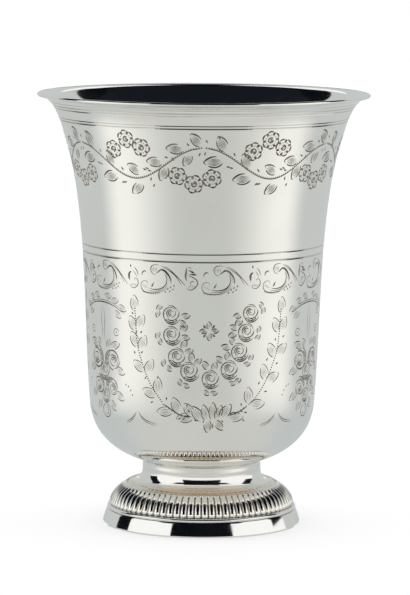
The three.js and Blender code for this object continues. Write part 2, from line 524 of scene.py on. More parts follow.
def leaf(
    length: float,
    width: float,
    veins: int = 5,
    rim: float = CUTS.plain,
    edge: float = CUTS.heavy,
) -> Motif:
    """A blunt oval leaf along +X with its middle at the origin, hatched along its length.

    Args:
        length: From the stalk to the tip.
        width: Across the middle.
        veins: The number of hatch lines.
        rim: The width of the cut round its upper side.
        edge: The width of the cut round its tip and lower side.

    Returns:
        The leaf's cuts.
    """

    def line(share: float, first: float, last: float, count: int) -> np.ndarray:
        along = np.linspace(first, last, count + 1)
        swell = np.sin(np.pi * along**LEAF.lean) ** LEAF.bluntness
        return np.column_stack([(along - 0.5) * length, share * swell * width / 2])

    tip = np.concatenate([line(1.0, *LEAF.tip, 1), line(-1.0, LEAF.tip[1], LEAF.edge_end, 5)])
    cuts = [burin(line(1.0, *LEAF.rim, 6), rim, Taper.LINE), burin(tip, edge)]
    first, last = LEAF.vein_band
    for i in range(veins):
        share = first + (last - first) * (i + 0.5) / veins
        cuts.append(burin(line(share, *LEAF.veins, 2), CUTS.hatch))
    return cuts


def daisy(radius: float) -> Motif:
    """A round flower with a lobed rim, dark notches between the lobes and a ring at its heart.

    Args:
        radius: The flower's radius.

    Returns:
        The flower's cuts.
    """
    lobes, rays, steps = 6, 18, 6
    rings = ((0.3, 200, 550, 10), (0.13, 20, 340, 6))
    lobe_span, lobe_reach, lobe_bulge = (0.08, 0.92), 0.93, 0.07
    notch_end, notch_width = 0.55, 0.68
    ray_start, ray_end = 0.46, 0.8
    cuts: Motif = []
    for share, first, last, count in rings:
        ring = arc_path((0, 0), share * radius, first, last, count)
        cuts.append(burin(ring, CUTS.plain, Taper.LINE))
    for i in range(lobes):
        turns = 360 / lobes * (i + np.linspace(*lobe_span, steps))
        reach = radius * (lobe_reach + lobe_bulge * np.sin(np.linspace(0, np.pi, steps)))
        cuts.append(burin(coil_path(reach, turns), CUTS.heavy))
        way = heading(360 / lobes * i) * radius
        cuts.append(dart(way, way * notch_end, notch_width))
    for i in range(rays):
        way = heading(360 / rays * (i + 0.5)) * radius
        cuts.append(burin(np.linspace(way * ray_start, way * ray_end, 3), CUTS.hatch))
    return cuts


def rose(radius: float) -> Motif:
    """A full-blown rose: a coiled bud in a ring of petals, over the lapping petals below it.

    Args:
        radius: The rose's radius.

    Returns:
        The rose's cuts.
    """
    rings = (
        (0.20, 0.12, 60, 330, 6, CUTS.plain),
        (0.20, 0.29, 15, 300, 9, CUTS.heavy),
        (0.19, 0.48, 75, 250, 8, CUTS.heavy),
        (0.19, 0.48, 265, 405, 8, CUTS.plain),
        (0.16, 0.68, 40, 150, 7, CUTS.light),
        (0.12, 0.86, 20, 112, 8, CUTS.plain),
        (0.12, 0.86, 104, 236, 9, CUTS.heavy),
        (0.12, 0.84, 306, 382, 7, CUTS.heavy),
        (0.02, 0.62, 212, 332, 7, CUTS.heavy),
        (-0.06, 0.76, 210, 330, 8, CUTS.heavy),
        (-0.04, 0.96, 198, 342, 9, CUTS.heavy),
    )
    coil_growth = (0.9, 1.1)
    folds, fold_start, fold_end = (222, 246, 284, 312), 0.66, 0.94
    hatches, hatch_reach, hatch_length, hatch_rise = (58, 82, 128, 152, 176), 0.7, 0.5, 0.12
    cuts: Motif = []
    for up, share, first, last, count, width in rings:
        reach = share * radius * np.linspace(*coil_growth, count + 1)
        coil = coil_path(reach, np.linspace(first, last, count + 1))
        cuts.append(burin(coil + np.array([0.0, up * radius]), width))
    for way in folds:
        start, end = (heading(way) * radius * share for share in (fold_start, fold_end))
        cuts.append(dart(start, end, CUTS.notch))
    for way in hatches:
        x, y = heading(way) * radius * hatch_reach
        cuts.append(dash((x, y + hatch_rise * radius), hatch_length, CUTS.hatch, way))
    return cuts


def sprig_star(radius: float) -> Motif:
    """A small eight-pointed sprig: four leaves in a cross and four darts between them.

    Args:
        radius: From the middle to a leaf's tip.

    Returns:
        The sprig's cuts.
    """
    reach, breadth = 0.84 * radius, 0.5 * radius
    dart_start, dart_end, dart_width = 0.9, 0.34, 0.8
    cuts: Motif = []
    for i in range(4):
        place = heading(90 * i) * (radius - reach / 2)
        blade = leaf(reach, breadth, 4 - i % 2)
        cuts += shifted(turned_motif(blade, 90 * i), place)
        way = heading(90 * i + 45) * radius
        cuts.append(dart(way * dart_start, way * dart_end, dart_width))
    return cuts


def turned_motif(motif: Motif, turn: float, grow: float = 1.0) -> Motif:
    """A motif turned and grown about its origin."""
    return [stroke.moved(turn, grow) for stroke in motif]


def heavier(motif: Motif, share: float) -> Motif:
    """The motif with every cut's width multiplied by a share."""
    return [Stroke(s.path, s.half * share, s.cut) for s in motif]


def shifted(motif: Motif, place: Iterable[float]) -> Motif:
    """A motif moved to another place on the sheet."""
    step = np.asarray(tuple(place), float)
    return [Stroke(s.path + step, s.half, s.cut) for s in motif]


def palmette() -> Motif:
    """The fan of petals where the two laurel branches meet."""
    petals = (
        (-3.8, 0.9, 118, 4.7, 2.5),
        (-1.7, 1.1, 98, 4.6, 2.0),
        (0.4, 1.4, 86, 5.0, 2.0),
        (2.0, 1.0, 68, 4.3, 1.8),
        (3.8, 1.2, 50, 4.9, 2.5),
        (-1.1, -2.6, 262, 3.6, 1.9),
        (2.0, -2.5, 304, 3.6, 1.8),
    )
    ticks = ((-2.2, -1.3, 92, 0.9), (2.9, -1.4, 126, 0.9), (-4.3, -0.9, 150, 1.0), (0.3, -2.6, 88, 1.6))
    veins = 4
    cuts: Motif = [dash((x, y), length, CUTS.tick, turn) for x, y, turn, length in ticks]
    for x, y, turn, length, width in petals:
        cuts += shifted(turned_motif(leaf(length, width, veins), turn), (x, y))
    return cuts


def acanthus_scroll() -> Motif:
    """One scroll of the acanthus band: a C-shaped leaf with a curled head, a frill and a tendril."""
    head = ((1.9, 4.0), (0.7, 4.1), (-0.45, 3.75), (-0.8, 2.9), (-0.55, 2.0), (0.15, 1.45), (0.95, 1.6))
    back = ((0.5, 1.7), (1.35, 2.15), (2.2, 2.8), (3.2, 2.5), (4.3, 1.3), (4.9, -0.1), (4.75, -1.1))
    inner = ((3.0, 2.0), (3.7, 0.7), (3.6, -0.8), (2.8, -1.9), (1.4, -2.5), (-0.5, -2.6), (-1.7, -2.2))
    middle = ((4.2, -0.6), (3.4, -2.0), (1.6, -2.9), (-0.5, -3.1), (-2.3, -2.8))
    foot = ((4.5, -1.4), (3.25, -2.6), (1.6, -3.3), (-0.4, -3.6), (-2.3, -3.5), (-3.5, -2.9))
    curl = ((-3.95, -1.75), (-3.65, -0.8), (-2.75, -0.35), (-1.95, -0.6), (-1.8, -1.25), (-2.4, -1.6))
    hook = ((-3.5, 0.9), (-3.4, 1.8), (-2.65, 2.35), (-2.1, 1.9))
    tendrils = (
        ((1.9, 4.0), (3.95, 2.9), (6.05, 1.25), (7.9, -1.5)),
        ((2.7, 3.95), (4.65, 2.85), (6.95, 0.6), (9.2, -1.8)),
    )
    dots = ((3.25, -3.2), (3.95, -2.4), (4.75, -1.9), (5.35, -2.5), (5.7, -1.5), (4.5, -3.0))
    hatchings = (
        ((-0.35, 2.85), (0.42, 0.0), 1.7, (96, 0)),
        ((-3.3, -1.5), (0.4, -0.25), 0.9, (70, 0)),
        ((4.4, -0.2), (-0.25, 0.55), 0.8, (20, 12)),
    )
    frill_cuts, hatch_cuts = 10, 4
    lines = [(CUTS.plain, head), (CUTS.bold, back), (CUTS.heavy, inner), (CUTS.light, middle)]
    lines += [(CUTS.plain, foot + curl), (CUTS.heavy, hook)]
    lines += [(CUTS.plain, tendril) for tendril in tendrils]
    cuts = drawn(lines)
    cuts.append(dart((-0.8, -2.1), (0.15, -0.5), CUTS.bold))
    for i in range(frill_cuts):
        x = -3.3 + 0.52 * i
        y = -2.95 - 0.75 * math.cos(0.42 * (x + 0.6))
        cuts.append(dash((x, y), 0.8, CUTS.plain, 55 + 7 * i))
    cuts += [dash(dot, 0.75, CUTS.tick, 60) for dot in dots]
    for i in range(hatch_cuts):
        for (x, y), (across, up), length, (turn, fan) in hatchings:
            cuts.append(dash((x + across * i, y + up * i), length, CUTS.hatch, turn + fan * i))
    return cuts


def cup_hatching(start: Point) -> Motif:
    """Four short hatch lines side by side in the cup of a flower."""
    count, gap, length, slant = 4, 0.45, 0.9, 60
    return [dash((start[0] + gap * i, start[1]), length, CUTS.hatch, slant) for i in range(count)]


def crescent_flower() -> Motif:
    """The flower beside every other scroll: a dark crescent over a curled cup."""
    crescent = ((9.5, -0.4), (9.3, 0.9), (9.55, 1.75), (10.2, 2.1))
    outer = ((10.9, 3.4), (11.8, 2.6), (12.4, 1.1))
    inner = ((10.7, 2.6), (11.5, 1.4), (11.9, 0.6))
    cup = ((9.5, -1.2), (10.1, -2.1), (11.3, -2.2), (12.3, -1.0), (11.9, 0.3), (11.1, 0.2), (11.0, -0.6))
    crescent_width = 0.75
    lines = [(crescent_width, crescent), (CUTS.plain, outer), (CUTS.light, inner), (CUTS.plain, cup)]
    cuts = drawn(lines)
    cuts.append(dash((9.9, 3.6), 0.95, CUTS.notch, 104))
    return cuts + cup_hatching((10.1, -1.4))


def flag_flower() -> Motif:
    """The flower beside the other scrolls: a dark flag over a curled cup."""
    staff = ((9.2, 3.6), (9.1, 2.4), (8.9, 1.0), (9.2, -0.3))
    cup = ((9.2, 1.4), (10.5, 1.0), (11.8, 0.1), (12.1, -1.0), (11.2, -2.2), (9.9, -2.6), (8.9, -1.8))
    curl = ((11.3, -0.8), (10.7, -0.2), (10.1, -0.8), (10.5, -1.5))
    top = ((9.4, 3.6), (10.2, 3.5), (10.6, 2.9))
    staff_width, flag_width = 0.6, 0.7
    cuts = drawn([(staff_width, staff), (CUTS.heavy, cup), (CUTS.plain, curl), (CUTS.light, top)])
    cuts += [dart((11.4, 1.9), (9.5, 2.9), flag_width), dart((12.0, 1.5), (9.7, 1.7), flag_width)]
    return cuts + cup_hatching((9.8, -1.7))


@dataclass
class OrnamentSheet:
    """The bowl's outside rolled flat, with every groove that is cut in it.

    Across the sheet is the azimuth in radians times flat_radius, and up it is the length along
    the bowl's outline, both in millimetres.
    """

    outline: Outline
    flat_radius: float = 33.0
    turn_slip: float = 1.8
    size_slip: float = 0.02
    stem_clearance: float = 0.3
    thread_overlap: float = 1.05
    strokes: list[Stroke] = field(default_factory=list)
    dice: np.random.Generator = field(default_factory=lambda: np.random.default_rng(HAND_SEED))

    def spot(self, azimuth: float, height: float) -> np.ndarray:
        """The place on the sheet of an azimuth and a height."""
        across = math.radians(azimuth) * self.flat_radius
        return np.array([across, self.outline.length_at_height(height)])

    def stamp(
        self,
        motif: Motif,
        azimuth: float,
        height: float,
        turn: float = 0.0,
        grow: float = 1.0,
        freehand: float = 1.0,
    ) -> None:
        """Cuts a motif into the sheet.

        Args:
            motif: The motif, in its own flat millimetres.
            azimuth: Where its origin goes round the bowl.
            height: Where its origin goes above the table.
            turn: Its turn in degrees.
            grow: Its size, where 1 is as drawn.
            freehand: How much the hand varies, where 0 is not at all.
        """
        turn += float(self.dice.normal(0, self.turn_slip)) * freehand
        grow *= 1 + float(self.dice.normal(0, self.size_slip)) * freehand
        place = self.spot(azimuth, height)
        radius = self.outline.read(place[1:])[0][0, 0]
        stretch = np.array([self.flat_radius / radius, 1.0])
        for stroke in turned_motif(motif, turn, grow):
            self.strokes.append(Stroke(stroke.path * stretch + place, stroke.half, stroke.cut))

    def scatter(self, motif: Motif, azimuth: float, places: Iterable[Sequence[float]]) -> None:
        """Cuts a motif at places, each an azimuth from the given one, a height, a turn and a size."""
        for place in places:
            self.stamp(motif, azimuth + place[0], *place[1:])

    def trace(self, spots: Sequence[Point], step: float = 0.8) -> np.ndarray:
        """The smooth path on the sheet through pairs of azimuth and height."""
        return smooth_path([tuple(self.spot(*spot)) for spot in spots], step)

    def rooted(
        self, stems: np.ndarray, azimuth: float, height: float, turn: float, length: float
    ) -> Point:
        """Where a leaf goes so that it grows from a stem.

        Args:
            stems: Points along the stems, on the sheet.
            azimuth: About where the leaf's middle is round the bowl.
            height: About where it is above the table.
            turn: The leaf's turn in degrees.
            length: The leaf's length.

        Returns:
            The azimuth and height of its middle, with its foot just off the stem.
        """
        gap = self.stem_clearance
        foot = self.spot(azimuth, height) - heading(turn) * length / 2
        step = stems[np.argmin(np.hypot(*(stems - foot).T))] - foot
        step *= max(0.0, 1 - gap / max(float(np.hypot(*step)), gap))
        return azimuth + math.degrees(step[0] / self.flat_radius), height + float(step[1])

    def notched_stem(self, spots: Sequence[Point], width: float, gap: float, dotted: bool) -> None:
        """Cuts a stem with notches along it.

        Args:
            spots: Pairs of azimuth and height that the stem passes through.
            width: The stem's width.
            gap: From one notch to the next.
            dotted: Whether the stem is a row of punched dots, with no line between them.
        """
        path = self.trace(spots)
        if not dotted:
            self.strokes.append(burin(path, width, Taper.LINE))
        lengths = run_lengths(path)
        length, look_ahead = 0.6, 0.1
        aside, slant, notch = (0.0, 90, CUTS.tick) if dotted else (0.75, 55, 0.34)
        for along in np.arange(gap, lengths[-1], gap):
            middle, ahead = (
                np.array([np.interp(place, lengths, path[:, i]) for i in (0, 1)])
                for place in (along, along + look_ahead)
            )
            way = math.degrees(math.atan2(*(ahead - middle)[::-1]))
            side = heading(way + 90) * (width * aside)
            self.strokes.append(dash(tuple(middle + side), length, notch, way + slant))

    def turned_threads(self, heights: Sequence[Point], columns: int) -> None:
        """Cuts threads right round the bowl.

        Args:
            heights: The height and width of each thread.
            columns: The number of steps round the bowl.
        """
        reach = self.thread_overlap
        across = np.linspace(-reach, reach, 1 + round(reach * columns)) * math.pi * self.flat_radius
        for height, width in heights:
            path = np.column_stack([across, np.full_like(across, self.spot(0, height)[1])])
            half = np.full(len(path), width / 2)
            half[[0, -1]] = 0.0
            self.strokes.append(Stroke(path, half, Cut.TURNED))


@dataclass(frozen=True)
class VineFrieze:
    """The running vine under the lip: daisies in threes, hatched leaves and a notched stem."""

    repeats: int = 6
    crest: float = 104.9
    trough: float = 96.4
    daisy_radius: float = 2.4
    leaf_size: Point = (4.9, 2.75)
    leaf_veins: int = 6
    weight: float = 1.3
    wave_knots: int = 13
    daisy_spin: float = 20.0
    notch_gap: float = 0.62
    tick_length: float = 1.3
    daisies: tuple[Point, ...] = (
        (-11, 97.4), (-4, 95.3), (3.6, 96.8), (20.5, 103.9), (27.5, 106.8), (34, 104.7),
    )
    leaves: tuple[tuple[float, float, float, float], ...] = (
        (-11.5, 104.6, 176, 1.05), (-3, 107.0, 126, 0.92), (7.3, 106.0, 118, 1.02),
        (-6.6, 101.7, 240, 0.8), (4.2, 101.2, 182, 1.05), (-20.6, 101.0, 176, 0.92),
        (-17, 98.0, 243, 0.95), (18.0, 101.3, 120, 0.98), (16.6, 96.6, 184, 1.05),
        (29.5, 98.9, 146, 0.9), (30.5, 93.8, 218, 0.92),
    )
    ticks: tuple[tuple[float, float, float], ...] = (
        (-6.2, 105.8, 122), (6.2, 107.6, 100), (1.2, 106.7, 118), (12.6, 103.2, 108),
        (10.2, 99.9, 172), (11.6, 99.6, 172), (-15.4, 102.3, 160), (-12.6, 101.9, 118),
        (-25.4, 98.9, 158), (-24.2, 99.2, 158), (-22.8, 96.4, 82), (23.6, 98.8, 128),
        (24.4, 95.2, 30), (36.8, 98.6, 165), (38.4, 94.7, 62), (23.2, 95.2, 30),
        (-1.6, 103.2, 70), (0.6, 103.4, 70),
    )

    def engrave(self, sheet: OrnamentSheet) -> None:
        """Cuts the frieze into the sheet."""
        step = 360 / self.repeats
        middle, swing = (self.crest + self.trough) / 2, (self.crest - self.trough) / 2
        shares = np.linspace(0, 1, self.wave_knots)
        flower = heavier(daisy(self.daisy_radius), self.weight)
        blade = heavier(leaf(*self.leaf_size, self.leaf_veins), self.weight)
        tick = [dash((0, 0), self.tick_length, CUTS.notch, 0)]
        for i in range(self.repeats):
            start = -180 + step * i
            wave = [(start + step * t, middle + swing * math.cos(2 * math.pi * t)) for t in shares]
            sheet.notched_stem(wave, CUTS.stem, self.notch_gap, dotted=False)
            for azimuth, height in self.daisies:
                sheet.stamp(flower, start + azimuth, height, self.daisy_spin * azimuth)
            sheet.scatter(blade, start, self.leaves)
            sheet.scatter(tick, start, self.ticks)


@dataclass(frozen=True)
class ScrollBand:
    """The acanthus band under the middle threads: scrolls with two kinds of flower by turns."""

    repeats: int = 12
    first_azimuth: float = 6.5
    height: float = 69.6
    freehand: float = 0.5

    def engrave(self, sheet: OrnamentSheet) -> None:
        """Cuts the band into the sheet."""
        scroll = acanthus_scroll()
        flowers = (crescent_flower(), flag_flower())
        for i in range(self.repeats):
            azimuth = self.first_azimuth + 360 * i / self.repeats
            azimuth = (azimuth + 180) % 360 - 180
            sheet.stamp(scroll + flowers[i % 2], azimuth, self.height, freehand=self.freehand)


@dataclass(frozen=True)
class GarlandPanel:
    """One panel of the lower band: roses in a U round a sprig, between two laurel branches."""

    azimuth: float
    rose_radius: float = 2.45
    star_radius: float = 2.55
    laurel_size: Point = (4.5, 2.5)
    laurel_veins: int = 4
    sprout_size: Point = (2.4, 1.45)
    sprout_veins: int = 3
    sprouts: tuple[tuple[float, float, float], ...] = (
        (-16, 3.75, 1.0), (17, 3.9, 1.05), (165, 3.8, 0.85), (196, 3.75, 0.85),
    )
    notch_gap: float = 1.0
    dot_gap: float = 0.66
    tick_length: float = 1.05
    bracket_gap: float = 0.5
    garland_middle: Point = (0.6, 57.0)
    palmette_place: Point = (1.2, 33.4)
    roses: tuple[Point, ...] = (
        (-18.5, 60.4), (-18.3, 54.9), (-16.0, 49.2), (-9.8, 45.4), (0.4, 43.4), (9.6, 45.9),
        (14.6, 50.5), (17.8, 55.8), (20.0, 60.8),
    )
    star: Point = (-0.3, 56.3)
    left_stem: tuple[Point, ...] = (
        (-8.5, 33.3), (-14.5, 33.8), (-23.0, 36.6), (-29.3, 41.4), (-34.0, 47.2), (-36.6, 53.0),
        (-37.6, 62.0),
    )
    right_stem: tuple[Point, ...] = (
        (9.5, 33.6), (14.5, 34.4), (19.5, 36.0), (25.0, 38.9), (30.0, 43.2), (33.4, 47.4),
        (35.8, 51.6), (37.2, 61.5),
    )
    leaves: tuple[tuple[float, float, float], ...] = (
        (-37.8, 63.0, 92), (-41.2, 57.6, 112), (-34.2, 58.2, 58), (-40.2, 53.2, 112),
        (-32.6, 52.8, 62), (-37.2, 46.0, 140), (-30.0, 46.4, 58), (-31.4, 38.9, 158),
        (-25.4, 41.4, 84), (-22.6, 34.2, 180), (-16.4, 36.4, 112), (-8.0, 31.4, 184),
        (-7.0, 35.0, 122), (37.6, 62.4, 90), (33.4, 57.2, 112), (41.4, 57.2, 62),
        (32.2, 50.6, 118), (39.8, 50.2, 38), (27.4, 45.2, 100), (34.2, 42.9, 24),
        (19.8, 38.9, 92), (25.0, 36.2, 2), (12.6, 32.3, -4),
    )
    ticks: tuple[tuple[float, float, float], ...] = (
        (-39.0, 60.3, 120), (-37.0, 55.2, 40), (-34.2, 55.4, 45), (-34.0, 50.0, 45),
        (-38.2, 49.8, 120), (-32.2, 43.2, 60), (-25.6, 43.6, 60), (-29.0, 36.8, 30),
        (-21.2, 38.0, 85), (-10.9, 36.4, 95), (-10.0, 34.8, 95), (-14.6, 32.8, 20),
        (-12.6, 32.7, 20), (34.2, 53.4, 95), (39.2, 54.0, 40), (29.6, 48.2, 60),
        (35.6, 46.9, 25), (25.4, 42.0, 70), (29.4, 39.6, 0), (16.2, 36.5, 95),
        (16.4, 34.7, 150), (18.6, 34.3, 10), (17.6, 32.2, 145),
    )
    brackets: tuple[tuple[Point, ...], ...] = (
        ((-45.5, 30.7), (-41.0, 32.0), (-37.7, 34.2)), ((-37.3, 34.3), (-33.5, 32.0), (-26.5, 30.8)),
        ((26.5, 30.5), (32.5, 31.6), (36.6, 33.8)), ((37.2, 33.9), (41.5, 31.7), (48.5, 30.7)),
    )

    def engrave(self, sheet: OrnamentSheet) -> None:
        """Cuts the panel into the sheet."""
        sheet.stamp(sprig_star(self.star_radius), self.azimuth + self.star[0], self.star[1])
        self._garland(sheet)
        paths = []
        bend_spot, fine_step = 2, 0.4
        for stem in (self.left_stem, self.right_stem):
            spots = [(self.azimuth + a, z) for a, z in stem]
            sheet.notched_stem(spots[: bend_spot + 1], CUTS.stem, self.notch_gap, dotted=False)
            sheet.notched_stem(spots[bend_spot:], CUTS.stem, self.dot_gap, dotted=True)
            paths.append(sheet.trace(spots, fine_step))
        stems = np.concatenate(paths)
        sheet.stamp(palmette(), self.azimuth + self.palmette_place[0], self.palmette_place[1])
        laurel = leaf(*self.laurel_size, self.laurel_veins, CUTS.plain, CUTS.plain)
        tick = [dash((0, 0), self.tick_length, CUTS.notch, 0)]
        for azimuth, height, turn in self.leaves:
            place = sheet.rooted(stems, self.azimuth + azimuth, height, turn, self.laurel_size[0])
            sheet.stamp(laurel, *place, turn)
        sheet.scatter(tick, self.azimuth, self.ticks)
        for arm in self.brackets:
            for drop, width in ((0.0, CUTS.plain), (self.bracket_gap, CUTS.light)):
                path = sheet.trace([(self.azimuth + a, z - drop) for a, z in arm], LOOSE_STEP)
                sheet.strokes.append(burin(path, width))

    def _garland(self, sheet: OrnamentSheet) -> None:
        """Cuts the roses with two small leaves inside and two outside each."""
        sway, sway_step, degree_length, fan = 14, 2.4, 0.56, 1.4
        flower = rose(self.rose_radius)
        blade = leaf(*self.sprout_size, self.sprout_veins)
        for i, (azimuth, height) in enumerate(self.roses):
            sheet.stamp(flower, self.azimuth + azimuth, height, sway * math.sin(sway_step * i))
            across, up = np.array(self.garland_middle) - np.array([azimuth, height])
            way = math.degrees(math.atan2(up, across * degree_length))
            for spread, reach, grow in self.sprouts:
                place = heading(way + spread) * reach
                sprout = shifted(turned_motif(blade, way + fan * spread, grow), place)
                sheet.stamp(sprout, self.azimuth + azimuth, height)


@dataclass(frozen=True)
class HangingBouquet:
    """The bouquet that hangs on a ribbon between two panels, under a leafy swag."""

    azimuth: float
    swag: tuple[Point, ...] = ((-17.0, 59.4), (-9.0, 61.6), (0.0, 62.3), (9.0, 61.6), (17.0, 59.4))
    flowers: tuple[tuple[float, float, float], ...] = (
        (-6.4, 47.0, 1.15), (6.4, 47.0, 1.15), (0.0, 43.6, 1.0), (-5.6, 39.8, 1.0), (5.6, 39.8, 1.0),
        (0.0, 37.0, 0.8),
    )
    leaves: tuple[tuple[float, float, float, float], ...] = (
        (-9.0, 51.0, 160, 0.9), (9.0, 51.0, 20, 0.9), (-3.8, 51.2, 120, 0.7), (3.8, 51.2, 60, 0.7),
        (-12.2, 44.2, 200, 0.85), (12.2, 44.2, -20, 0.85), (-11.4, 37.4, 215, 0.85),
        (11.4, 37.4, -35, 0.85), (-6.0, 34.6, 235, 0.8), (6.0, 34.6, -55, 0.8),
        (-9.6, 63.0, 168, 0.7), (-4.4, 64.0, 174, 0.7), (4.4, 64.0, 6, 0.7), (9.6, 63.0, 12, 0.7),
        (-14.6, 61.2, 205, 0.7), (14.6, 61.2, -25, 0.7), (-11.4, 59.4, 215, 0.7), (11.4, 59.4, -35, 0.7),
    )
    sprigs: tuple[Point, ...] = ((15.8, 40.8), (17.4, 40.4), (18.8, 39.4), (19.8, 38.2))
    rose_radius: float = 2.5
    rose_spin: float = 40.0
    leaf_size: Point = (4.4, 2.3)
    leaf_veins: int = 4
    swag_gap: float = 0.55
    ribbon_heights: Point = (61.6, 51.5)
    ribbon_half: float = 1.1
    ribbon_wave: float = 0.25
    ribbon_pitch: float = 0.9
    ribbon_knots: int = 8
    ring_place: Point = (10.2, 54.6)
    ring_arc: tuple[float, float, float, int] = (1.0, 0, 350, 10)
    drop_height: float = 32.9
    drop_arcs: tuple[tuple[float, float, float, int], ...] = ((1.7, 100, 450, 14), (0.9, 200, 480, 9))

    def engrave(self, sheet: OrnamentSheet) -> None:
        """Cuts the bouquet into the sheet."""
        berry_length, berry_turn, dot_length = 0.7, 60, 0.6
        berry = [dash((0, 0), berry_length, CUTS.tick, berry_turn)]
        ring = [burin(arc_path((0, 0), *self.ring_arc), CUTS.light, Taper.LINE)]
        ring.append(dash((0, 0), dot_length, CUTS.heavy, 0))
        outer, inner = (arc_path((0, 0), *arc) for arc in self.drop_arcs)
        drop = [burin(outer, CUTS.plain, Taper.LINE), burin(inner, CUTS.light)]
        for rise, width in ((0.0, CUTS.heavy), (self.swag_gap, CUTS.light)):
            arch = [(self.azimuth + a, z + rise) for a, z in self.swag]
            sheet.strokes.append(burin(sheet.trace(arch, LOOSE_STEP), width))
        for side in (-1.0, 1.0):
            ribbon = []
            for z in np.linspace(*self.ribbon_heights, self.ribbon_knots):
                half = self.ribbon_half + self.ribbon_wave * math.sin(self.ribbon_pitch * z)
                ribbon.append((self.azimuth + side * half, z))
            sheet.strokes.append(burin(sheet.trace(ribbon, LOOSE_STEP), CUTS.plain))
            for azimuth, height in self.sprigs:
                sheet.stamp(berry, self.azimuth + side * azimuth, height)
            sheet.stamp(ring, self.azimuth + side * self.ring_place[0], self.ring_place[1])
        flower, blade = rose(self.rose_radius), leaf(*self.leaf_size, self.leaf_veins)
        for azimuth, height, grow in self.flowers:
            sheet.stamp(flower, self.azimuth + azimuth, height, self.rose_spin * azimuth, grow)
        sheet.scatter(blade, self.azimuth, self.leaves)
        sheet.stamp(drop, self.azimuth, self.drop_height)


class GrooveMap:
    """Tells how deep the grooves of a sheet are at any place."""

    HIGH = 5.0

    def __init__(self, strokes: Sequence[Stroke], depth_share: float) -> None:
        """Lays out every stroke as a V-shaped strip.

        Args:
            strokes: The grooves.
            depth_share: A groove's depth as a share of its half width.
        """
        self.edges: list[tuple[int, int]] = []
        self.cuts: list[Cut] = []
        spots: list[np.ndarray] = []
        depths: list[np.ndarray] = []
        triangles: list[tuple[int, int, int]] = []
        count = 0
        for stroke in strokes:
            ways = unit_rows(np.gradient(stroke.path, axis=0))
            side = np.column_stack([-ways[:, 1], ways[:, 0]])[1:-1] * stroke.half[1:-1, None]
            inner = len(stroke.path) - 2
            middle = list(range(count, count + inner + 2))
            left = [middle[0], *range(middle[-1] + 1, middle[-1] + 1 + inner), middle[-1]]
            right = [middle[0], *range(left[-2] + 1, left[-2] + 1 + inner), middle[-1]]
            spots += [stroke.path, stroke.path[1:-1] + side, stroke.path[1:-1] - side]
            depths += [stroke.half * depth_share, np.zeros(2 * inner)]
            for chain in (middle, left, right):
                self.edges += list(zip(chain, chain[1:]))
            for edge in (left, right):
                for a, b, c, d in zip(middle, middle[1:], edge[1:], edge):
                    triangles += [t for t in ((a, b, c), (a, c, d)) if len(set(t)) == 3]
            self.cuts += [stroke.cut] * (len(triangles) - len(self.cuts))
            count += 3 * inner + 2
        self.flat = np.concatenate(spots)
        solid = np.column_stack([self.flat, np.concatenate(depths)])
        self.tree = BVHTree.FromPolygons(solid.tolist(), triangles, all_triangles=True)

    def look(self, place: Sequence[float]) -> tuple[float, Cut | None]:
        """The depth at a place, and the kind of groove there if there is one."""
        hit, _, index, _ = self.tree.ray_cast((place[0], place[1], self.HIGH), (0, 0, -1))
        return (hit.z, self.cuts[index]) if hit else (0.0, None)


# Meshes


@dataclass
class MeshParts:
    """Vertices, triangles and shading gathered for one mesh, in millimetres."""

    spots: list[np.ndarray] = field(default_factory=list)
    normals: list[np.ndarray] = field(default_factory=list)
    triangles: list[np.ndarray] = field(default_factory=list)
    materials: list[np.ndarray] = field(default_factory=list)
    count: int = 0

    def add(
        self, spots: np.ndarray, normals: np.ndarray, triangles: np.ndarray, materials: np.ndarray
    ) -> None:
        """Adds a patch of surface.

        Args:
            spots: Its vertices.
            normals: The fair surface's normal at each vertex.
            triangles: Vertex numbers, from 0 within the patch.
            materials: A material number for each triangle.
        """
        self.spots.append(spots)
        self.normals.append(normals)
        self.triangles.append(triangles + self.count)
        self.materials.append(materials)
        self.count += len(spots)

    def mesh(self, name: str) -> bpy.types.Mesh:
        """Welds the patches into a mesh with fair normals outside the grooves.

        Args:
            name: The mesh's name.

        Returns:
            The mesh, in metres.
        """
        spots = np.concatenate(self.spots) * MM
        keys = np.round(spots / (WELD_STEP * MM)).astype(np.int64)
        _, first, place = np.unique(keys, axis=0, return_index=True, return_inverse=True)
        triangles = place.reshape(-1)[np.concatenate(self.triangles)]
        whole = (triangles != np.roll(triangles, 1, axis=1)).all(axis=1)
        triangles = triangles[whole]
        materials = np.concatenate(self.materials)[whole]
        spots = spots[first]
        normals = np.concatenate(self.normals)[first]
        mesh = bpy.data.meshes.new(name)
        mesh.from_pydata(spots.tolist(), [], triangles.tolist())
        mesh.polygons.foreach_set("material_index", materials.astype(np.int32))
        mesh.polygons.foreach_set("use_smooth", np.ones(len(triangles), bool))
        corners = normals[triangles]
        a, b, c = (spots[triangles[:, i]] for i in range(3))
        faces = np.cross(b - a, c - a)
        faces /= np.maximum(np.linalg.norm(faces, axis=1), NO_AREA)[:, None]
        cut = materials > 0
        corners[cut] = faces[cut][:, None, :]
        mesh.update()
        mesh.normals_split_custom_set(corners.reshape(-1, 3).tolist())
        return mesh


def show_mesh(mesh: bpy.types.Mesh, name: str, materials: Sequence[Material]) -> bpy.types.Object:
    """Puts a mesh into the scene.

    Args:
        mesh: The finished mesh.
        name: The object's name.
        materials: The materials of its slots, in order, for a mesh that has none yet.

    Returns:
        The new object, at the origin.
    """
    if not mesh.materials:
        for material in materials:
            mesh.materials.append(material)
    piece = bpy.data.objects.new(name, mesh)
    bpy.context.scene.collection.objects.link(piece)
    return piece


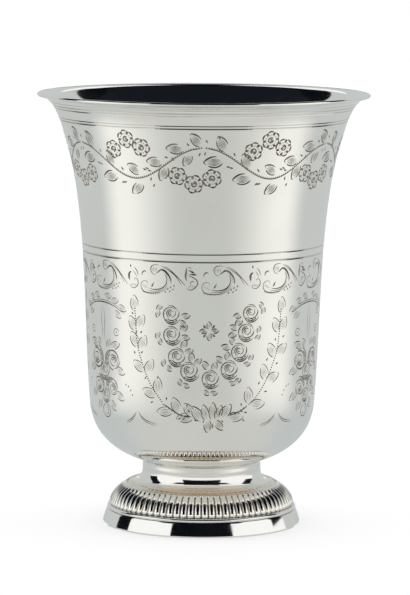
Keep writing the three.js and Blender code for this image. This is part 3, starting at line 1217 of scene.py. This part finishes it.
def seat(piece: bpy.types.Object, node: str) -> None:
    """Lets a piece stand for a CAD node on the beaker's one body."""
    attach(piece, BODY)
    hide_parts(node)
    triangles = len(piece.data.loop_triangles) or len(piece.data.polygons)
    LOG.info("%s: %d triangles", piece.name, triangles)


# Bowl


@dataclass
class Bowl:
    """The raised cup: its outline, its turned threads and its engraving."""

    seat_height: float = 17.35
    seat_radius: float = 16.0
    seat_slope: float = 16.4
    under_holds: Point = (10.3, 7.0)
    belly: Point = (30.51, 33.1)
    belly_way: float = 85.65
    wall_holds: Point = (25.2, 20.7)
    throat: Point = (37.71, 105.9)
    throat_way: float = 71.84
    lip_holds: Point = (3.0, 4.4)
    lip_radius: float = 45.0
    height: float = 117.0
    lip_slope: float = 5.0
    wall: float = 0.6
    lip_thickness: float = 0.9
    columns: int = 180
    row_step: float = 2.1
    crowding: float = 0.4
    under_step: float = 1.5
    over_step: float = 0.5
    inside_step: float = 3.0
    edge_rows: int = 12
    cap_steps: int = 40
    edge_steps: int = 16
    groove_depth: float = 0.62
    seam_share: float = 0.9
    engraved_heights: Point = (28.4, 115.55)
    panel_azimuth: float = 3.5
    panels: int = 3
    threads: tuple[Point, ...] = (
        (114.77, 0.26), (113.9, 0.42), (113.15, 0.42), (110.61, 0.34), (109.89, 0.44),
        (76.59, 0.44), (74.58, 0.52),
    )

    def outside(self) -> np.ndarray:
        """The outside's outline, from the axis to the lip."""
        arc = self.seat_radius / math.sin(math.radians(self.seat_slope))
        middle = (0.0, self.seat_height + arc * math.cos(math.radians(self.seat_slope)))
        cap = arc_path(middle, arc, -90, self.seat_slope - 90, self.cap_steps)
        lip = (self.lip_radius - self.lip_thickness / 2, self.height - self.lip_thickness)
        rest = (self.seat_radius, self.seat_height)
        under = bend(rest, self.belly, (self.seat_slope, self.belly_way), self.under_holds)
        side = bend(self.belly, self.throat, (self.belly_way, self.throat_way), self.wall_holds)
        flare = bend(self.throat, lip, (self.throat_way, self.lip_slope), self.lip_holds)
        return np.concatenate([cap, under, side, flare])

    def section(self) -> tuple[Outline, float]:
        """The whole section from the axis outside, over the lip and back to the axis inside.

        Returns:
            The section, and the length along it where the lip's edge starts.
        """
        outer = Outline(self.outside())
        throat = outer.length_at_height(self.throat[1])
        share = np.clip((outer.lengths - throat) / (outer.length - throat), 0, 1)
        thickness = self.wall + share * (self.lip_thickness - self.wall)
        inner = outer.points - outer.normals * thickness[:, None]
        inner[0, 0] = 0.0
        middle = tuple((outer.points[-1] + inner[-1]) / 2)
        turns = (self.lip_slope - 90, self.lip_slope + 90)
        edge = arc_path(middle, self.lip_thickness / 2, *turns, self.edge_steps)
        return Outline(np.concatenate([outer.points, edge[1:-1], inner[::-1]])), outer.length

    def ornament(self, outline: Outline) -> OrnamentSheet:
        """The bowl's outside rolled flat, with all its grooves.

        Args:
            outline: The outside's outline.

        Returns:
            The sheet.
        """
        sheet = OrnamentSheet(outline)
        sheet.turned_threads(self.threads, self.columns)
        VineFrieze().engrave(sheet)
        ScrollBand().engrave(sheet)
        for i in range(self.panels):
            azimuth = self.panel_azimuth + 360 / self.panels * (i - 1)
            GarlandPanel(azimuth).engrave(sheet)
            over_seam = i == self.panels - 1
            HangingBouquet(azimuth + 180 / self.panels - (360 if over_seam else 0)).engrave(sheet)
        return sheet

    def engraved_patch(self, outline: Outline, parts: MeshParts) -> Point:
        """Adds the engraved stretch of the outside.

        Args:
            outline: The outside's outline.
            parts: The mesh to add to.

        Returns:
            The lengths along the outline where the stretch starts and ends.
        """
        sheet = self.ornament(outline)
        rim = math.pi * sheet.flat_radius
        strokes = list(sheet.strokes)
        # A cut that crosses the seam at the back is laid on both sides of it.
        for stroke in sheet.strokes:
            if stroke.cut is Cut.ENGRAVED and np.abs(stroke.path[:, 0]).max() > self.seam_share * rim:
                shift = np.array([-2 * rim * np.sign(stroke.path[:, 0].mean()), 0.0])
                strokes.append(Stroke(stroke.path + shift, stroke.half, stroke.cut))
        grooves = GrooveMap(strokes, self.groove_depth)
        low, high = (outline.length_at_height(h) for h in self.engraved_heights)
        flat, edges = self._sheet_points(grooves, rim, low, high)
        flat, _, faces, *_ = delaunay_2d_cdt([Vector(p) for p in flat], edges, [], 0, CLOSE_SPOTS)
        spots = np.array([tuple(p) for p in flat])
        triangles = np.array(faces)
        middles = spots[triangles].mean(axis=1)
        inside = (np.abs(middles[:, 0]) < rim) & (middles[:, 1] > low) & (middles[:, 1] < high)
        triangles, middles = triangles[inside], middles[inside]
        depths = np.array([grooves.look(p)[0] for p in spots])
        cuts = [grooves.look(p)[1] for p in middles]
        materials = np.array([cut.value if cut else 0 for cut in cuts])
        on_edge = np.isin(np.arange(len(spots)), triangles[materials == 0])
        depths[on_edge] = 0.0
        pairs, normals = outline.read(spots[:, 1])
        azimuths = spots[:, 0] / sheet.flat_radius
        solid = turned_about_z(azimuths, pairs - normals * depths[:, None])
        parts.add(solid, turned_about_z(azimuths, normals), triangles, materials)
        return low, high

    def _sheet_points(
        self, grooves: GrooveMap, rim: float, low: float, high: float
    ) -> tuple[list[Point], list[tuple[int, int]]]:
        """The points and fixed edges that the engraved stretch is built on.

        Args:
            grooves: The grooves' own points and edges.
            rim: Half the sheet's width.
            low: The sheet's lower edge.
            high: The sheet's upper edge.

        Returns:
            The points, and the pairs of points that stay joined.
        """
        points = grooves.flat.tolist()
        edges = list(grooves.edges)
        near = KDTree(len(points))
        for i, (x, y) in enumerate(points):
            near.insert((x, y, 0.0), i)
        near.balance()
        rows = np.linspace(low, high, 1 + round((high - low) / self.row_step))
        across = np.linspace(-rim, rim, self.columns + 1)
        for row, y in enumerate(rows):
            border = row in (0, len(rows) - 1)
            for column, x in enumerate(across):
                at_seam = column in (0, self.columns)
                if not border and not at_seam:
                    crowded = near.find((x, y, 0.0))[2] < self.crowding * self.row_step
                    if crowded or grooves.look((x, y))[1]:
                        continue
                if border and column:
                    edges.append((len(points) - 1, len(points)))
                points.append([float(x), float(y)])
        for side in (-rim, rim):
            start = len(points)
            points += [[float(side), float(y)] for y in rows]
            edges += [(i, i + 1) for i in range(start, len(points) - 1)]
        return points, edges

    def plain_patch(self, outline: Outline, lengths: np.ndarray, parts: MeshParts) -> None:
        """Adds a plain turned stretch of the section.

        Args:
            outline: The section.
            lengths: The lengths along it of the rows of vertices.
            parts: The mesh to add to.
        """
        pairs, normals = outline.read(lengths)
        turns = np.linspace(-math.pi, math.pi, self.columns + 1)
        azimuths = np.tile(turns, len(lengths))
        spots = turned_about_z(azimuths, np.repeat(pairs, len(turns), axis=0))
        fair = turned_about_z(azimuths, np.repeat(normals, len(turns), axis=0))
        row, column = np.meshgrid(np.arange(len(lengths) - 1), np.arange(self.columns), indexing="ij")
        a = (row * len(turns) + column).reshape(-1)
        b, c, d = a + 1, a + len(turns) + 1, a + len(turns)
        triangles = np.concatenate([np.column_stack([a, b, c]), np.column_stack([a, c, d])])
        parts.add(spots, fair, triangles, np.zeros(len(triangles), int))

    def build(self, materials: Sequence[Material]) -> None:
        """Builds the bowl in polished, engraved and thread silver, in that order."""
        parts = MeshParts()
        section, lip = self.section()
        outer = Outline(self.outside())
        low, high = self.engraved_patch(outer, parts)
        inner = lip + math.pi * self.lip_thickness / 2
        stretches = (
            (0, low, round(low / self.under_step)),
            (high, lip, round((lip - high) / self.over_step)),
            (lip, inner, self.edge_rows),
            (inner, section.length, round((section.length - inner) / self.inside_step)),
        )
        for start, end, rows in stretches:
            self.plain_patch(section, np.linspace(start, end, rows + 1), parts)
        piece = show_mesh(parts.mesh("engraved_bowl"), "engraved_bowl", materials)
        seat(piece, "bowl")


# Foot


@dataclass(frozen=True)
class LobeRule:
    """How gadroons are ruled into a turned piece: start, end and run_in are shares of its outline."""

    count: int = 0
    depth: float = 0.0
    start: float = 0.0
    end: float = 1.0
    run_in: float = 0.1


class TurnedPieceNodes:
    """The Geometry Nodes tree that turns an outline about Z and rules lobes into it."""

    WELD_DISTANCE = 2e-7
    HARD_FOLD = 52
    RISE_SHARE = 0.02
    INPUTS = (
        ("Outline", "NodeSocketObject"),
        ("Facets", "NodeSocketInt"),
        ("Rows", "NodeSocketInt"),
        ("Lobes", "NodeSocketInt"),
        ("Lobe Depth", "NodeSocketFloat"),
        ("Lobe Start", "NodeSocketFloat"),
        ("Lobe End", "NodeSocketFloat"),
        ("Run In", "NodeSocketFloat"),
        ("Material", "NodeSocketMaterial"),
    )

    def __init__(self) -> None:
        """Builds the tree."""
        self.tree = bpy.data.node_groups.new("turned piece", "GeometryNodeTree")
        self.keys: dict[str, str] = {}
        for name, kind in self.INPUTS:
            socket = self.tree.interface.new_socket(name, in_out="INPUT", socket_type=kind)
            self.keys[name] = socket.identifier
        self.tree.interface.new_socket("Geometry", in_out="OUTPUT", socket_type="NodeSocketGeometry")
        plan = NodePlan(self.tree)
        given = plan.add("NodeGroupInput").outputs
        facets = plan.math("ADD", given["Facets"], 1)
        rows = plan.math("ADD", given["Rows"], 1)
        feeds = {"Size X": 1.0, "Size Y": 1.0, "Vertices X": facets, "Vertices Y": rows}
        grid = plan.add("GeometryNodeMeshGrid", feeds).outputs["Mesh"]
        place = plan.add("GeometryNodeInputPosition").outputs[0]
        axes = plan.add("ShaderNodeSeparateXYZ", {"Vector": place}).outputs
        turn = plan.math("ADD", axes["X"], 0.5)
        along = plan.math("ADD", axes["Y"], 0.5)
        curve = plan.add("GeometryNodeObjectInfo", {"Object": given["Outline"]}).outputs["Geometry"]
        feeds = {"Curves": curve, "Factor": along}
        settings = {"mode": "FACTOR", "use_all_curves": True}
        reading = plan.add("GeometryNodeSampleCurve", feeds, **settings).outputs
        spot = plan.add("ShaderNodeSeparateXYZ", {"Vector": reading["Position"]}).outputs
        way = plan.add("ShaderNodeSeparateXYZ", {"Vector": reading["Tangent"]}).outputs
        recess = self._recess(plan, given, turn, along)
        sink = plan.math("MULTIPLY", recess, given["Lobe Depth"])
        radius = plan.math("SUBTRACT", spot["X"], plan.math("MULTIPLY", sink, way["Z"]))
        height = plan.math("ADD", spot["Z"], plan.math("MULTIPLY", sink, way["X"]))
        angle = plan.math("MULTIPLY", turn, 2 * math.pi)
        feeds = {
            "X": plan.math("MULTIPLY", radius, plan.math("SINE", angle)),
            "Y": plan.math("MULTIPLY", plan.math("MULTIPLY", radius, plan.math("COSINE", angle)), -1.0),
            "Z": height,
        }
        target = plan.add("ShaderNodeCombineXYZ", feeds).outputs[0]
        marked = plan.add(
            "GeometryNodeStoreNamedAttribute",
            {"Geometry": grid, "Name": "recess", "Value": recess},
            data_type="FLOAT",
            domain="POINT",
        ).outputs[0]
        placed = plan.add("GeometryNodeSetPosition", {"Geometry": marked, "Position": target}).outputs[0]
        feeds = {"Geometry": placed, "Distance": self.WELD_DISTANCE}
        welded = plan.add("GeometryNodeMergeByDistance", feeds).outputs[0]
        fair = plan.add("GeometryNodeSetShadeSmooth", {"Geometry": welded}).outputs[0]
        fold = plan.add("GeometryNodeInputMeshEdgeAngle").outputs["Unsigned Angle"]
        hard = plan.math("GREATER_THAN", fold, math.radians(self.HARD_FOLD))
        feeds = {"Geometry": fair, "Selection": hard, "Shade Smooth": False}
        fair = plan.add("GeometryNodeSetShadeSmooth", feeds, domain="EDGE").outputs[0]
        whole = plan.add("GeometryNodeRealizeInstances", {"Geometry": fair}).outputs[0]
        feeds = {"Geometry": whole, "Material": given["Material"]}
        plan.add("NodeGroupOutput", {0: plan.add("GeometryNodeSetMaterial", feeds).outputs[0]})

    def _recess(self, plan: NodePlan, given: Any, turn: Any, along: Any) -> Socket:
        """How far into the groove between two lobes a place is, from 0 on a crest to 1.

        Args:
            plan: The plan of the tree.
            given: The tree's inputs.
            turn: The share of a full turn.
            along: The share of the outline.

        Returns:
            The socket with the share.
        """
        within = plan.math("FRACT", plan.math("MULTIPLY", turn, given["Lobes"]))
        across = plan.math("SUBTRACT", plan.math("MULTIPLY", within, 2.0), 1.0)
        square = plan.math("POWER", plan.math("ABSOLUTE", across), 2.0)
        lobe = plan.math("SQRT", plan.math("SUBTRACT", 1.0, square))
        under = plan.math("SUBTRACT", given["Lobe Start"], self.RISE_SHARE)
        rise = plan.ramp(along, under, given["Lobe Start"])
        fade_from = plan.math("SUBTRACT", given["Lobe End"], given["Run In"])
        fade = plan.ramp(along, fade_from, given["Lobe End"], 1.0, 0.0)
        return plan.math("MULTIPLY", plan.math("SUBTRACT", 1.0, lobe), plan.math("MULTIPLY", rise, fade))

    def turn(
        self,
        name: str,
        points: np.ndarray,
        facets: int,
        rows: int,
        material: Material,
        lobes: LobeRule = LobeRule(),
    ) -> bpy.types.Object:
        """Turns an outline into a finished piece.

        Args:
            name: The piece's name.
            points: The closed outline, as radius and height.
            facets: Steps round the piece.
            rows: Steps along the outline.
            material: The piece's material.
            lobes: The rule of its gadroons, if it has them.

        Returns:
            The piece's object, with a plain mesh.
        """
        curve = bpy.data.curves.new(f"{name}_outline", "CURVE")
        curve.dimensions = "3D"
        spline = curve.splines.new("POLY")
        spline.points.add(len(points) - 1)
        for knot, (radius, height) in zip(spline.points, points):
            knot.co = (radius * MM, 0.0, height * MM, 1.0)
        guide = bpy.data.objects.new(f"{name}_outline", curve)
        host = bpy.data.objects.new(f"{name}_host", bpy.data.meshes.new(f"{name}_host"))
        for thing in (guide, host):
            bpy.context.scene.collection.objects.link(thing)
        modifier = host.modifiers.new("turned piece", "NODES")
        modifier.node_group = self.tree
        values = {
            "Outline": guide,
            "Facets": facets,
            "Rows": rows,
            "Lobes": lobes.count,
            "Lobe Depth": lobes.depth * MM,
            "Lobe Start": lobes.start,
            "Lobe End": lobes.end,
            "Run In": lobes.run_in,
            "Material": material,
        }
        for key, value in values.items():
            modifier[self.keys[key]] = value
        bpy.context.view_layer.update()
        shown = host.evaluated_get(bpy.context.evaluated_depsgraph_get())
        mesh = bpy.data.meshes.new_from_object(shown)
        mesh.name = name
        bpy.data.objects.remove(host)
        bpy.data.objects.remove(guide)
        bpy.data.curves.remove(curve)
        return show_mesh(mesh, name, [material])


@dataclass
class Foot:
    """The pedestal foot: base band, fillet wire, gadrooned band and neck, from the table up.

    A slope is measured from the horizontal. Ways and holds are those of the bend function.
    """

    base_radius: float = 26.95
    base_top: float = 3.9
    base_wall: float = 1.4
    base_ways: Point = (105.0, 112.0)
    base_holds: Point = (1.2, 1.2)
    toe: float = 0.12
    toe_way: float = 92.0
    fillet_radius: float = 25.7
    fillet_top: float = 5.0
    fillet_steps: int = 24
    gadroons: int = 80
    gadroon_radius: float = 25.1
    gadroon_wall: float = 1.6
    gadroon_way: float = 94.0
    gadroon_holds: Point = (2.2, 2.25)
    gadroon_depth: float = 0.85
    gadroon_run_in: float = 0.05
    undercut: Point = (0.3, 0.5)
    undercut_way: float = 20.0
    undercut_holds: Point = (0.2, 0.25)
    shoulder_radius: float = 21.0
    shoulder_height: float = 10.6
    shoulder_slope: float = 29.0
    shoulder_seat: float = 2.4
    dome_slope: float = 39.7
    dome_holds: Point = (2.53, 2.8)
    waist_radius: float = 16.45
    waist_height: float = 12.94
    waist_slope: float = 62.9
    cove_holds: Point = (0.82, 0.3)
    stem_radius: float = 16.05
    stem_height: float = 15.07
    stem_way: float = 87.6
    stem_holds: Point = (0.8, 0.5)
    neck_radius: float = 16.0
    neck_top: float = 17.25
    neck_wall: float = 0.9
    solder: float = 0.35
    solder_rise: float = 0.34
    solder_hold: float = 0.6
    solder_ways: Point = (86.0, 18.0)
    bore_drop: float = 0.3
    bore_holds: Point = (2.0, 2.2)
    bore_waist: Point = (15.65, 12.4)
    spread_holds: Point = (0.77, 2.1)
    tail_depth: float = 0.45
    tail_start: float = 0.75
    tail_fade: float = 0.9
    tail_end: float = 3.9
    facets: int = 240
    facets_a_lobe: int = 12
    facets_a_tail: int = 8

    def base_band(self) -> np.ndarray:
        """The flared band that stands on the table."""
        heel = self.base_radius - self.base_wall
        sole = (self.base_radius - self.toe, 0.0)
        edge = (self.base_radius, self.toe)
        top = (self.fillet_radius, self.base_top)
        toe = bend(sole, edge, (0, self.toe_way), (self.toe / 2, self.toe / 2))
        flank = bend(edge, top, self.base_ways, self.base_holds)
        inner = [(self.fillet_radius - self.base_wall, self.base_top), (heel, 0.0)]
        return np.concatenate([[(heel, 0.0)], toe, flank[1:], inner])

    def fillet_wire(self) -> np.ndarray:
        """The half-round wire over the base band."""
        bore = self.gadroon_radius - self.gadroon_wall
        half = (self.fillet_top - self.base_top) / 2
        middle = (self.fillet_radius - half, self.base_top + half)
        round_side = arc_path(middle, half, -90, 90, self.fillet_steps)
        low, high = (bore, self.base_top), (bore, self.fillet_top)
        return np.concatenate([[low], round_side, [high, low]])

    def gadroon_band(self) -> tuple[np.ndarray, LobeRule]:
        """The convex band of lobes.

        Returns:
            Its outline, and the rule of its lobes.
        """
        inset, rise = self.undercut
        toe = (self.gadroon_radius - inset, self.fillet_top)
        foot = (self.gadroon_radius, self.fillet_top + rise)
        shoulder = (self.shoulder_radius, self.shoulder_height)
        lower = bend(toe, foot, (self.undercut_way, self.gadroon_way), self.undercut_holds)
        crest = bend(foot, shoulder, (self.gadroon_way, 180 - self.shoulder_slope), self.gadroon_holds)
        outside = np.concatenate([lower, crest[1:]])
        start = np.array([(self.gadroon_radius - self.gadroon_wall, self.fillet_top)])
        bore = [(self.shoulder_radius - self.shoulder_seat, self.shoulder_height)]
        points = np.concatenate([start, outside, bore, start])
        whole = Outline(points).length
        before = float(np.linalg.norm(outside[0] - start[0]))
        lobes = LobeRule(
            count=self.gadroons,
            depth=self.gadroon_depth,
            start=before / whole,
            end=(before + Outline(outside).length) / whole,
            run_in=self.gadroon_run_in,
        )
        return points, lobes

    def neck(self) -> tuple[np.ndarray, LobeRule]:
        """The neck with its solder fillet under the bowl, its waist and its domed shoulder.

        Returns:
            Its outline, and the rule of the lobes' tails on the shoulder.
        """
        shoulder = (self.shoulder_radius, self.shoulder_height)
        waist = (self.waist_radius, self.waist_height)
        stem = (self.stem_radius, self.stem_height)
        solder_foot = (self.neck_radius, self.neck_top - self.solder)
        solder_top = (self.neck_radius + self.solder, self.neck_top + self.solder_rise * self.solder)
        solder_holds = (self.solder_hold * self.solder, self.solder_hold * self.solder)
        waist_way = 180 - self.waist_slope
        dome = bend(shoulder, waist, (180 - self.dome_slope, waist_way), self.dome_holds)
        cove = bend(waist, stem, (waist_way, self.stem_way), self.cove_holds)
        rise = bend(stem, solder_foot, (self.stem_way, self.solder_ways[0]), self.stem_holds)
        solder = bend(solder_foot, solder_top, self.solder_ways, solder_holds)
        bore = (self.neck_radius - self.neck_wall, self.neck_top - self.bore_drop)
        seat_bore = (self.shoulder_radius - self.shoulder_seat, self.shoulder_height)
        drop = bend(bore, self.bore_waist, (-90, -self.waist_slope), self.bore_holds)
        spread_ways = (-self.waist_slope, -self.shoulder_slope)
        spread = bend(self.bore_waist, seat_bore, spread_ways, self.spread_holds)
        points = np.concatenate([dome, cove[1:], rise[1:], solder[1:], drop, spread[1:], dome[:1]])
        whole = Outline(points).length
        tails = LobeRule(
            count=self.gadroons,
            depth=self.tail_depth,
            start=self.tail_start / whole,
            end=self.tail_end / whole,
            run_in=(self.tail_end - self.tail_fade) / whole,
        )
        return points, tails

    def build(self, polished: Material, neck: Material, toned: Material) -> None:
        """Builds the foot's four pieces.

        Args:
            polished: The finish of the base band and the fillet wire.
            neck: The finish of the neck.
            toned: The finish of the gadroons.
        """
        nodes = TurnedPieceNodes()
        base, wire, plain = self.base_band(), self.fillet_wire(), LobeRule()
        lobed, lobes = self.gadroon_band()
        waisted, tails = self.neck()
        lobe_facets = self.facets_a_lobe * self.gadroons
        tail_facets = self.facets_a_tail * self.gadroons
        pieces = (
            ("base_strip", "base_band", base, 60, polished, plain, self.facets, Slot.POLISHED),
            ("fillet_ring", "fillet_wire", wire, 36, polished, plain, self.facets, Slot.POLISHED),
            ("gadroons", "gadroon_band", lobed, 56, toned, lobes, lobe_facets, Slot.TONED),
            ("waisted_neck", "foot_neck", waisted, 90, neck, tails, tail_facets, Slot.POLISHED),
        )
        for name, node, outline, rows, material, rule, facets, slot in pieces:
            seat(nodes.turn(name, outline, facets, rows, material, rule), node)


# Studio


def show_flat(name: str, corners: Corners, material: Material) -> bpy.types.Object:
    """Puts a flat sheet with four corners, in millimetres, on the stage."""
    mesh = bpy.data.meshes.new(name)
    mesh.from_pydata([tuple(c * MM for c in corner) for corner in corners], [], [(0, 1, 2, 3)])
    sheet = show_mesh(mesh, name, [material])
    return sheet


def level_square(half: float, height: float) -> Corners:
    """The corners of a level square round the beaker's axis."""
    return [(x * half, y * half, height) for x, y in ((-1, -1), (1, -1), (1, 1), (-1, 1))]


class GlowSheet:
    """A flat sheet that glows, and that nothing but the silver sees, as a painted reflection."""

    def __init__(self, name: str, corners: Corners) -> None:
        """Starts the sheet, with an empty plan for its colour."""
        self.name = name
        self.corners = corners
        self.material, self.plan = new_material(name)
        self.material.node_tree.nodes.clear()

    def show(self, colour: Any) -> None:
        """Puts the sheet on the stage in a colour, or in the colour of a socket of its plan."""
        glow = self.plan.add("ShaderNodeEmission", {"Color": colour, "Strength": 1.0})
        self.plan.add("ShaderNodeOutputMaterial", {"Surface": glow.outputs[0]})
        sheet = show_flat(self.name, self.corners, self.material)
        sheet.visible_camera = False
        sheet.visible_diffuse = False
        sheet.visible_shadow = False


@dataclass
class Studio:
    """The white floor, the light, the glowing sheets of painted reflection that only the silver sees,
    and the camera.
    """

    camera_distance: float = 945.0
    camera_height: float = 175.5
    aim: tuple[float, float, float] = (0.64, 0.0, 61.4)
    roll: float = 0.38
    lens: float = 212.2
    floor_half: float = 2000.0
    floor_tone: Colour = (0.9, 0.9, 0.9)
    floor_roughness: float = 0.8
    floor_lift: float = 0.67
    shadow_reach: float = 90.0
    shadow_share: float = 0.5
    side_light: float = 1.0
    ceiling: Colour = (0.008, 0.010, 0.014)
    ceiling_lean: float = 0.2
    ceiling_starts: Point = (0.49, 0.55)
    ceiling_sides: Point = (0.63, 0.73)
    floor_reflection_half: float = 900.0
    floor_reflection_height: float = 0.5
    front_turns: Point = (15.0, 74.0)
    back_turns: Point = (78.0, 106.0)
    near_turns: Point = (50.0, 95.0)
    near_reach: Point = (90.0, 210.0)
    # The colours of the painted floor reflection: shade in front and behind, light at the sides, and
    # shadow close to the foot.
    front_shade_reflection: Colour = (0.565, 0.582, 0.552)
    near_shadow_reflection: Colour = (0.605, 0.615, 0.588)
    near_side_shadow_reflection: Colour = (0.54, 0.575, 0.575)
    side_light_reflection: Colour = (0.95, 0.945, 0.905)
    back_shade_reflection: Colour = (0.575, 0.60, 0.592)
    # The tone of the painted dark reflections.
    dark: Colour = (0.002, 0.003, 0.005)

    def camera(self) -> None:
        """Makes the camera at the photograph's angle."""
        data = bpy.data.cameras.new("camera")
        data.lens = self.lens
        data.clip_end = 20.0
        eye = bpy.data.objects.new("camera", data)
        bpy.context.scene.collection.objects.link(eye)
        eye.location = Vector((0.0, -self.camera_distance, self.camera_height)) * MM
        gaze = Vector(self.aim) * MM - eye.location
        tilt = Quaternion((0.0, 0.0, 1.0), math.radians(self.roll))
        eye.rotation_mode = "QUATERNION"
        eye.rotation_quaternion = gaze.to_track_quat("-Z", "Y") @ tilt
        bpy.context.scene.camera = eye

    def world(self) -> None:
        """Lights the scene from the sides all round, under a dark ceiling."""
        world = bpy.data.worlds.new("studio")
        bpy.context.scene.world = world
        world.use_nodes = True
        world.node_tree.nodes.clear()
        plan = NodePlan(world.node_tree)
        way = plan.add("ShaderNodeTexCoord").outputs["Generated"]
        axes = plan.add("ShaderNodeSeparateXYZ", {"Vector": way}).outputs
        behind = plan.math("MULTIPLY", plan.math("MAXIMUM", axes["Y"], 0.0), self.ceiling_lean)
        rise = plan.math("SUBTRACT", axes["Z"], behind)
        middle = plan.ramp(plan.math("ABSOLUTE", axes["X"]), *self.ceiling_sides, 1.0, 0.0)
        shade = plan.math("MULTIPLY", plan.ramp(rise, *self.ceiling_starts), middle)
        colour = plan.mix(shade, opaque(WHITE), opaque(self.ceiling))
        light = plan.add("ShaderNodeBackground", {"Color": colour, "Strength": self.side_light})
        white = plan.add("ShaderNodeBackground", {"Color": opaque(WHITE), "Strength": 1.0})
        seen = plan.add("ShaderNodeLightPath").outputs["Is Camera Ray"]
        mix = plan.add("ShaderNodeMixShader", {0: seen, 1: light.outputs[0], 2: white.outputs[0]})
        plan.add("ShaderNodeOutputWorld", {"Surface": mix.outputs[0]})

    def floor(self) -> None:
        """Lays the floor, lifted to white but for a faint shadow round the foot."""
        material, plan = new_material("white floor")
        shader = material.node_tree.nodes["Principled BSDF"]
        looks = {
            "Base Color": opaque(self.floor_tone),
            "Roughness": self.floor_roughness,
            "Specular IOR Level": 0.0,
            "Emission Color": opaque(WHITE),
        }
        for name, value in looks.items():
            plan.feed(shader.inputs[name], value)
        ray = plan.add("ShaderNodeLightPath").outputs
        shown = plan.math("MAXIMUM", ray["Is Camera Ray"], ray["Is Glossy Ray"])
        open_sky = plan.add("ShaderNodeAmbientOcclusion", {"Distance": self.shadow_reach * MM})
        shaded = plan.ramp(open_sky.outputs["AO"], 0.0, 1.0, 1.0 - self.shadow_share, 1.0)
        lift = plan.math("MULTIPLY", shaded, self.floor_lift)
        plan.feed(shader.inputs["Emission Strength"], plan.math("MULTIPLY", shown, lift))
        show_flat("floor", level_square(self.floor_half, 0.0), material)

    def floor_tones(self) -> None:
        """Lays a painted reflection of the floor, by the turn from the camera's side: painted shade in
        front and behind, painted light at the sides, and a painted shadow close to the foot.
        """
        sheet = GlowSheet("floor_tones", level_square(self.floor_reflection_half, self.floor_reflection_height))
        plan = sheet.plan
        spot = plan.add("ShaderNodeTexCoord").outputs["Object"]
        axes = plan.add("ShaderNodeSeparateXYZ", {"Vector": spot}).outputs
        aside = plan.math("ABSOLUTE", axes["X"])
        ahead = plan.math("MULTIPLY", axes["Y"], -1.0)
        away = plan.add("ShaderNodeVectorMath", {0: spot}, operation="LENGTH").outputs["Value"]
        turn = plan.math("DEGREES", plan.math("ARCTAN2", aside, ahead))
        front = plan.ramp(turn, *self.front_turns, 1.0, 0.0)
        far = plan.mix(front, opaque(self.side_light_reflection), opaque(self.front_shade_reflection))
        far = plan.mix(plan.ramp(turn, *self.back_turns), far, opaque(self.back_shade_reflection))
        beside = plan.ramp(turn, *self.near_turns)
        close = plan.mix(beside, opaque(self.near_shadow_reflection), opaque(self.near_side_shadow_reflection))
        near = plan.ramp(away, *(reach * MM for reach in self.near_reach), 1.0, 0.0)
        sheet.show(plan.mix(near, far, close))

    def painted_reflection_cards(self) -> None:
        """Stands dark and grey glowing cards round the beaker, all outside the camera's view, as painted
        reflections that only the silver sees.

        A row of the table is a card's name, its two ends seen from above, the heights of its lower
        and upper edges at these ends, and its tone.
        """
        roof = ((-140, -130, 190), (140, -130, 190), (140, 60, 190), (-140, 60, 190))
        GlowSheet("above", roof).show(opaque(self.ceiling))
        rows = [
            ("camera_side", (-369, -500), (385, -500), (115, 115), (1100, 1100), self.dark),
            ("gap_left", (-600, 42), (-600, 285), (40, 40), (900, 900), self.dark),
            ("gap_right", (600, 42), (600, 285), (142, 142), (900, 900), self.dark),
        ]
        slanted = (
            ("back", (0, 0), (430, 620), self.back_shade_reflection),
            ("over", (430, 620), (900, 900), self.dark),
        )
        for part, low, high, tone in slanted:
            for name, side in (("left", -1), ("right", 1)):
                rows.append((f"{part}_{name}", (side * 640, 300), (side * 185, 690), low, high, tone))
        rows += [
            ("back_middle", (-185, 690), (185, 690), (60, 60), (430, 430), self.back_shade_reflection),
            ("behind", (-45, 1200), (60, 1200), (545, 545), (1600, 1600), self.dark),
        ]
        for name, start, end, low, high, tone in rows:
            corners = ((*start, low[0]), (*end, low[1]), (*end, high[1]), (*start, high[0]))
            GlowSheet(name, corners).show(opaque(tone))

    def build(self) -> None:
        """Sets the stage."""
        bpy.context.scene.view_settings.view_transform = "Standard"
        self.camera()
        self.world()
        self.floor()
        self.floor_tones()
        self.painted_reflection_cards()


def main() -> None:
    """Builds the beaker and its studio."""
    logging.basicConfig(level=logging.INFO, format="%(name)s: %(message)s")
    polish = hand_polish_group()
    polished = POLISHED_SILVER.material(polish)
    engraved = ENGRAVED_SILVER.material(polish)
    thread = THREAD_SILVER.material(polish)
    neck = NECK_SILVER.material(polish)
    toned = GADROON_SILVER.material(polish)
    Bowl().build([polished, engraved, thread])
    Foot().build(polished, neck, toned)
    Studio().build()


if __name__ == "__main__":
    main()
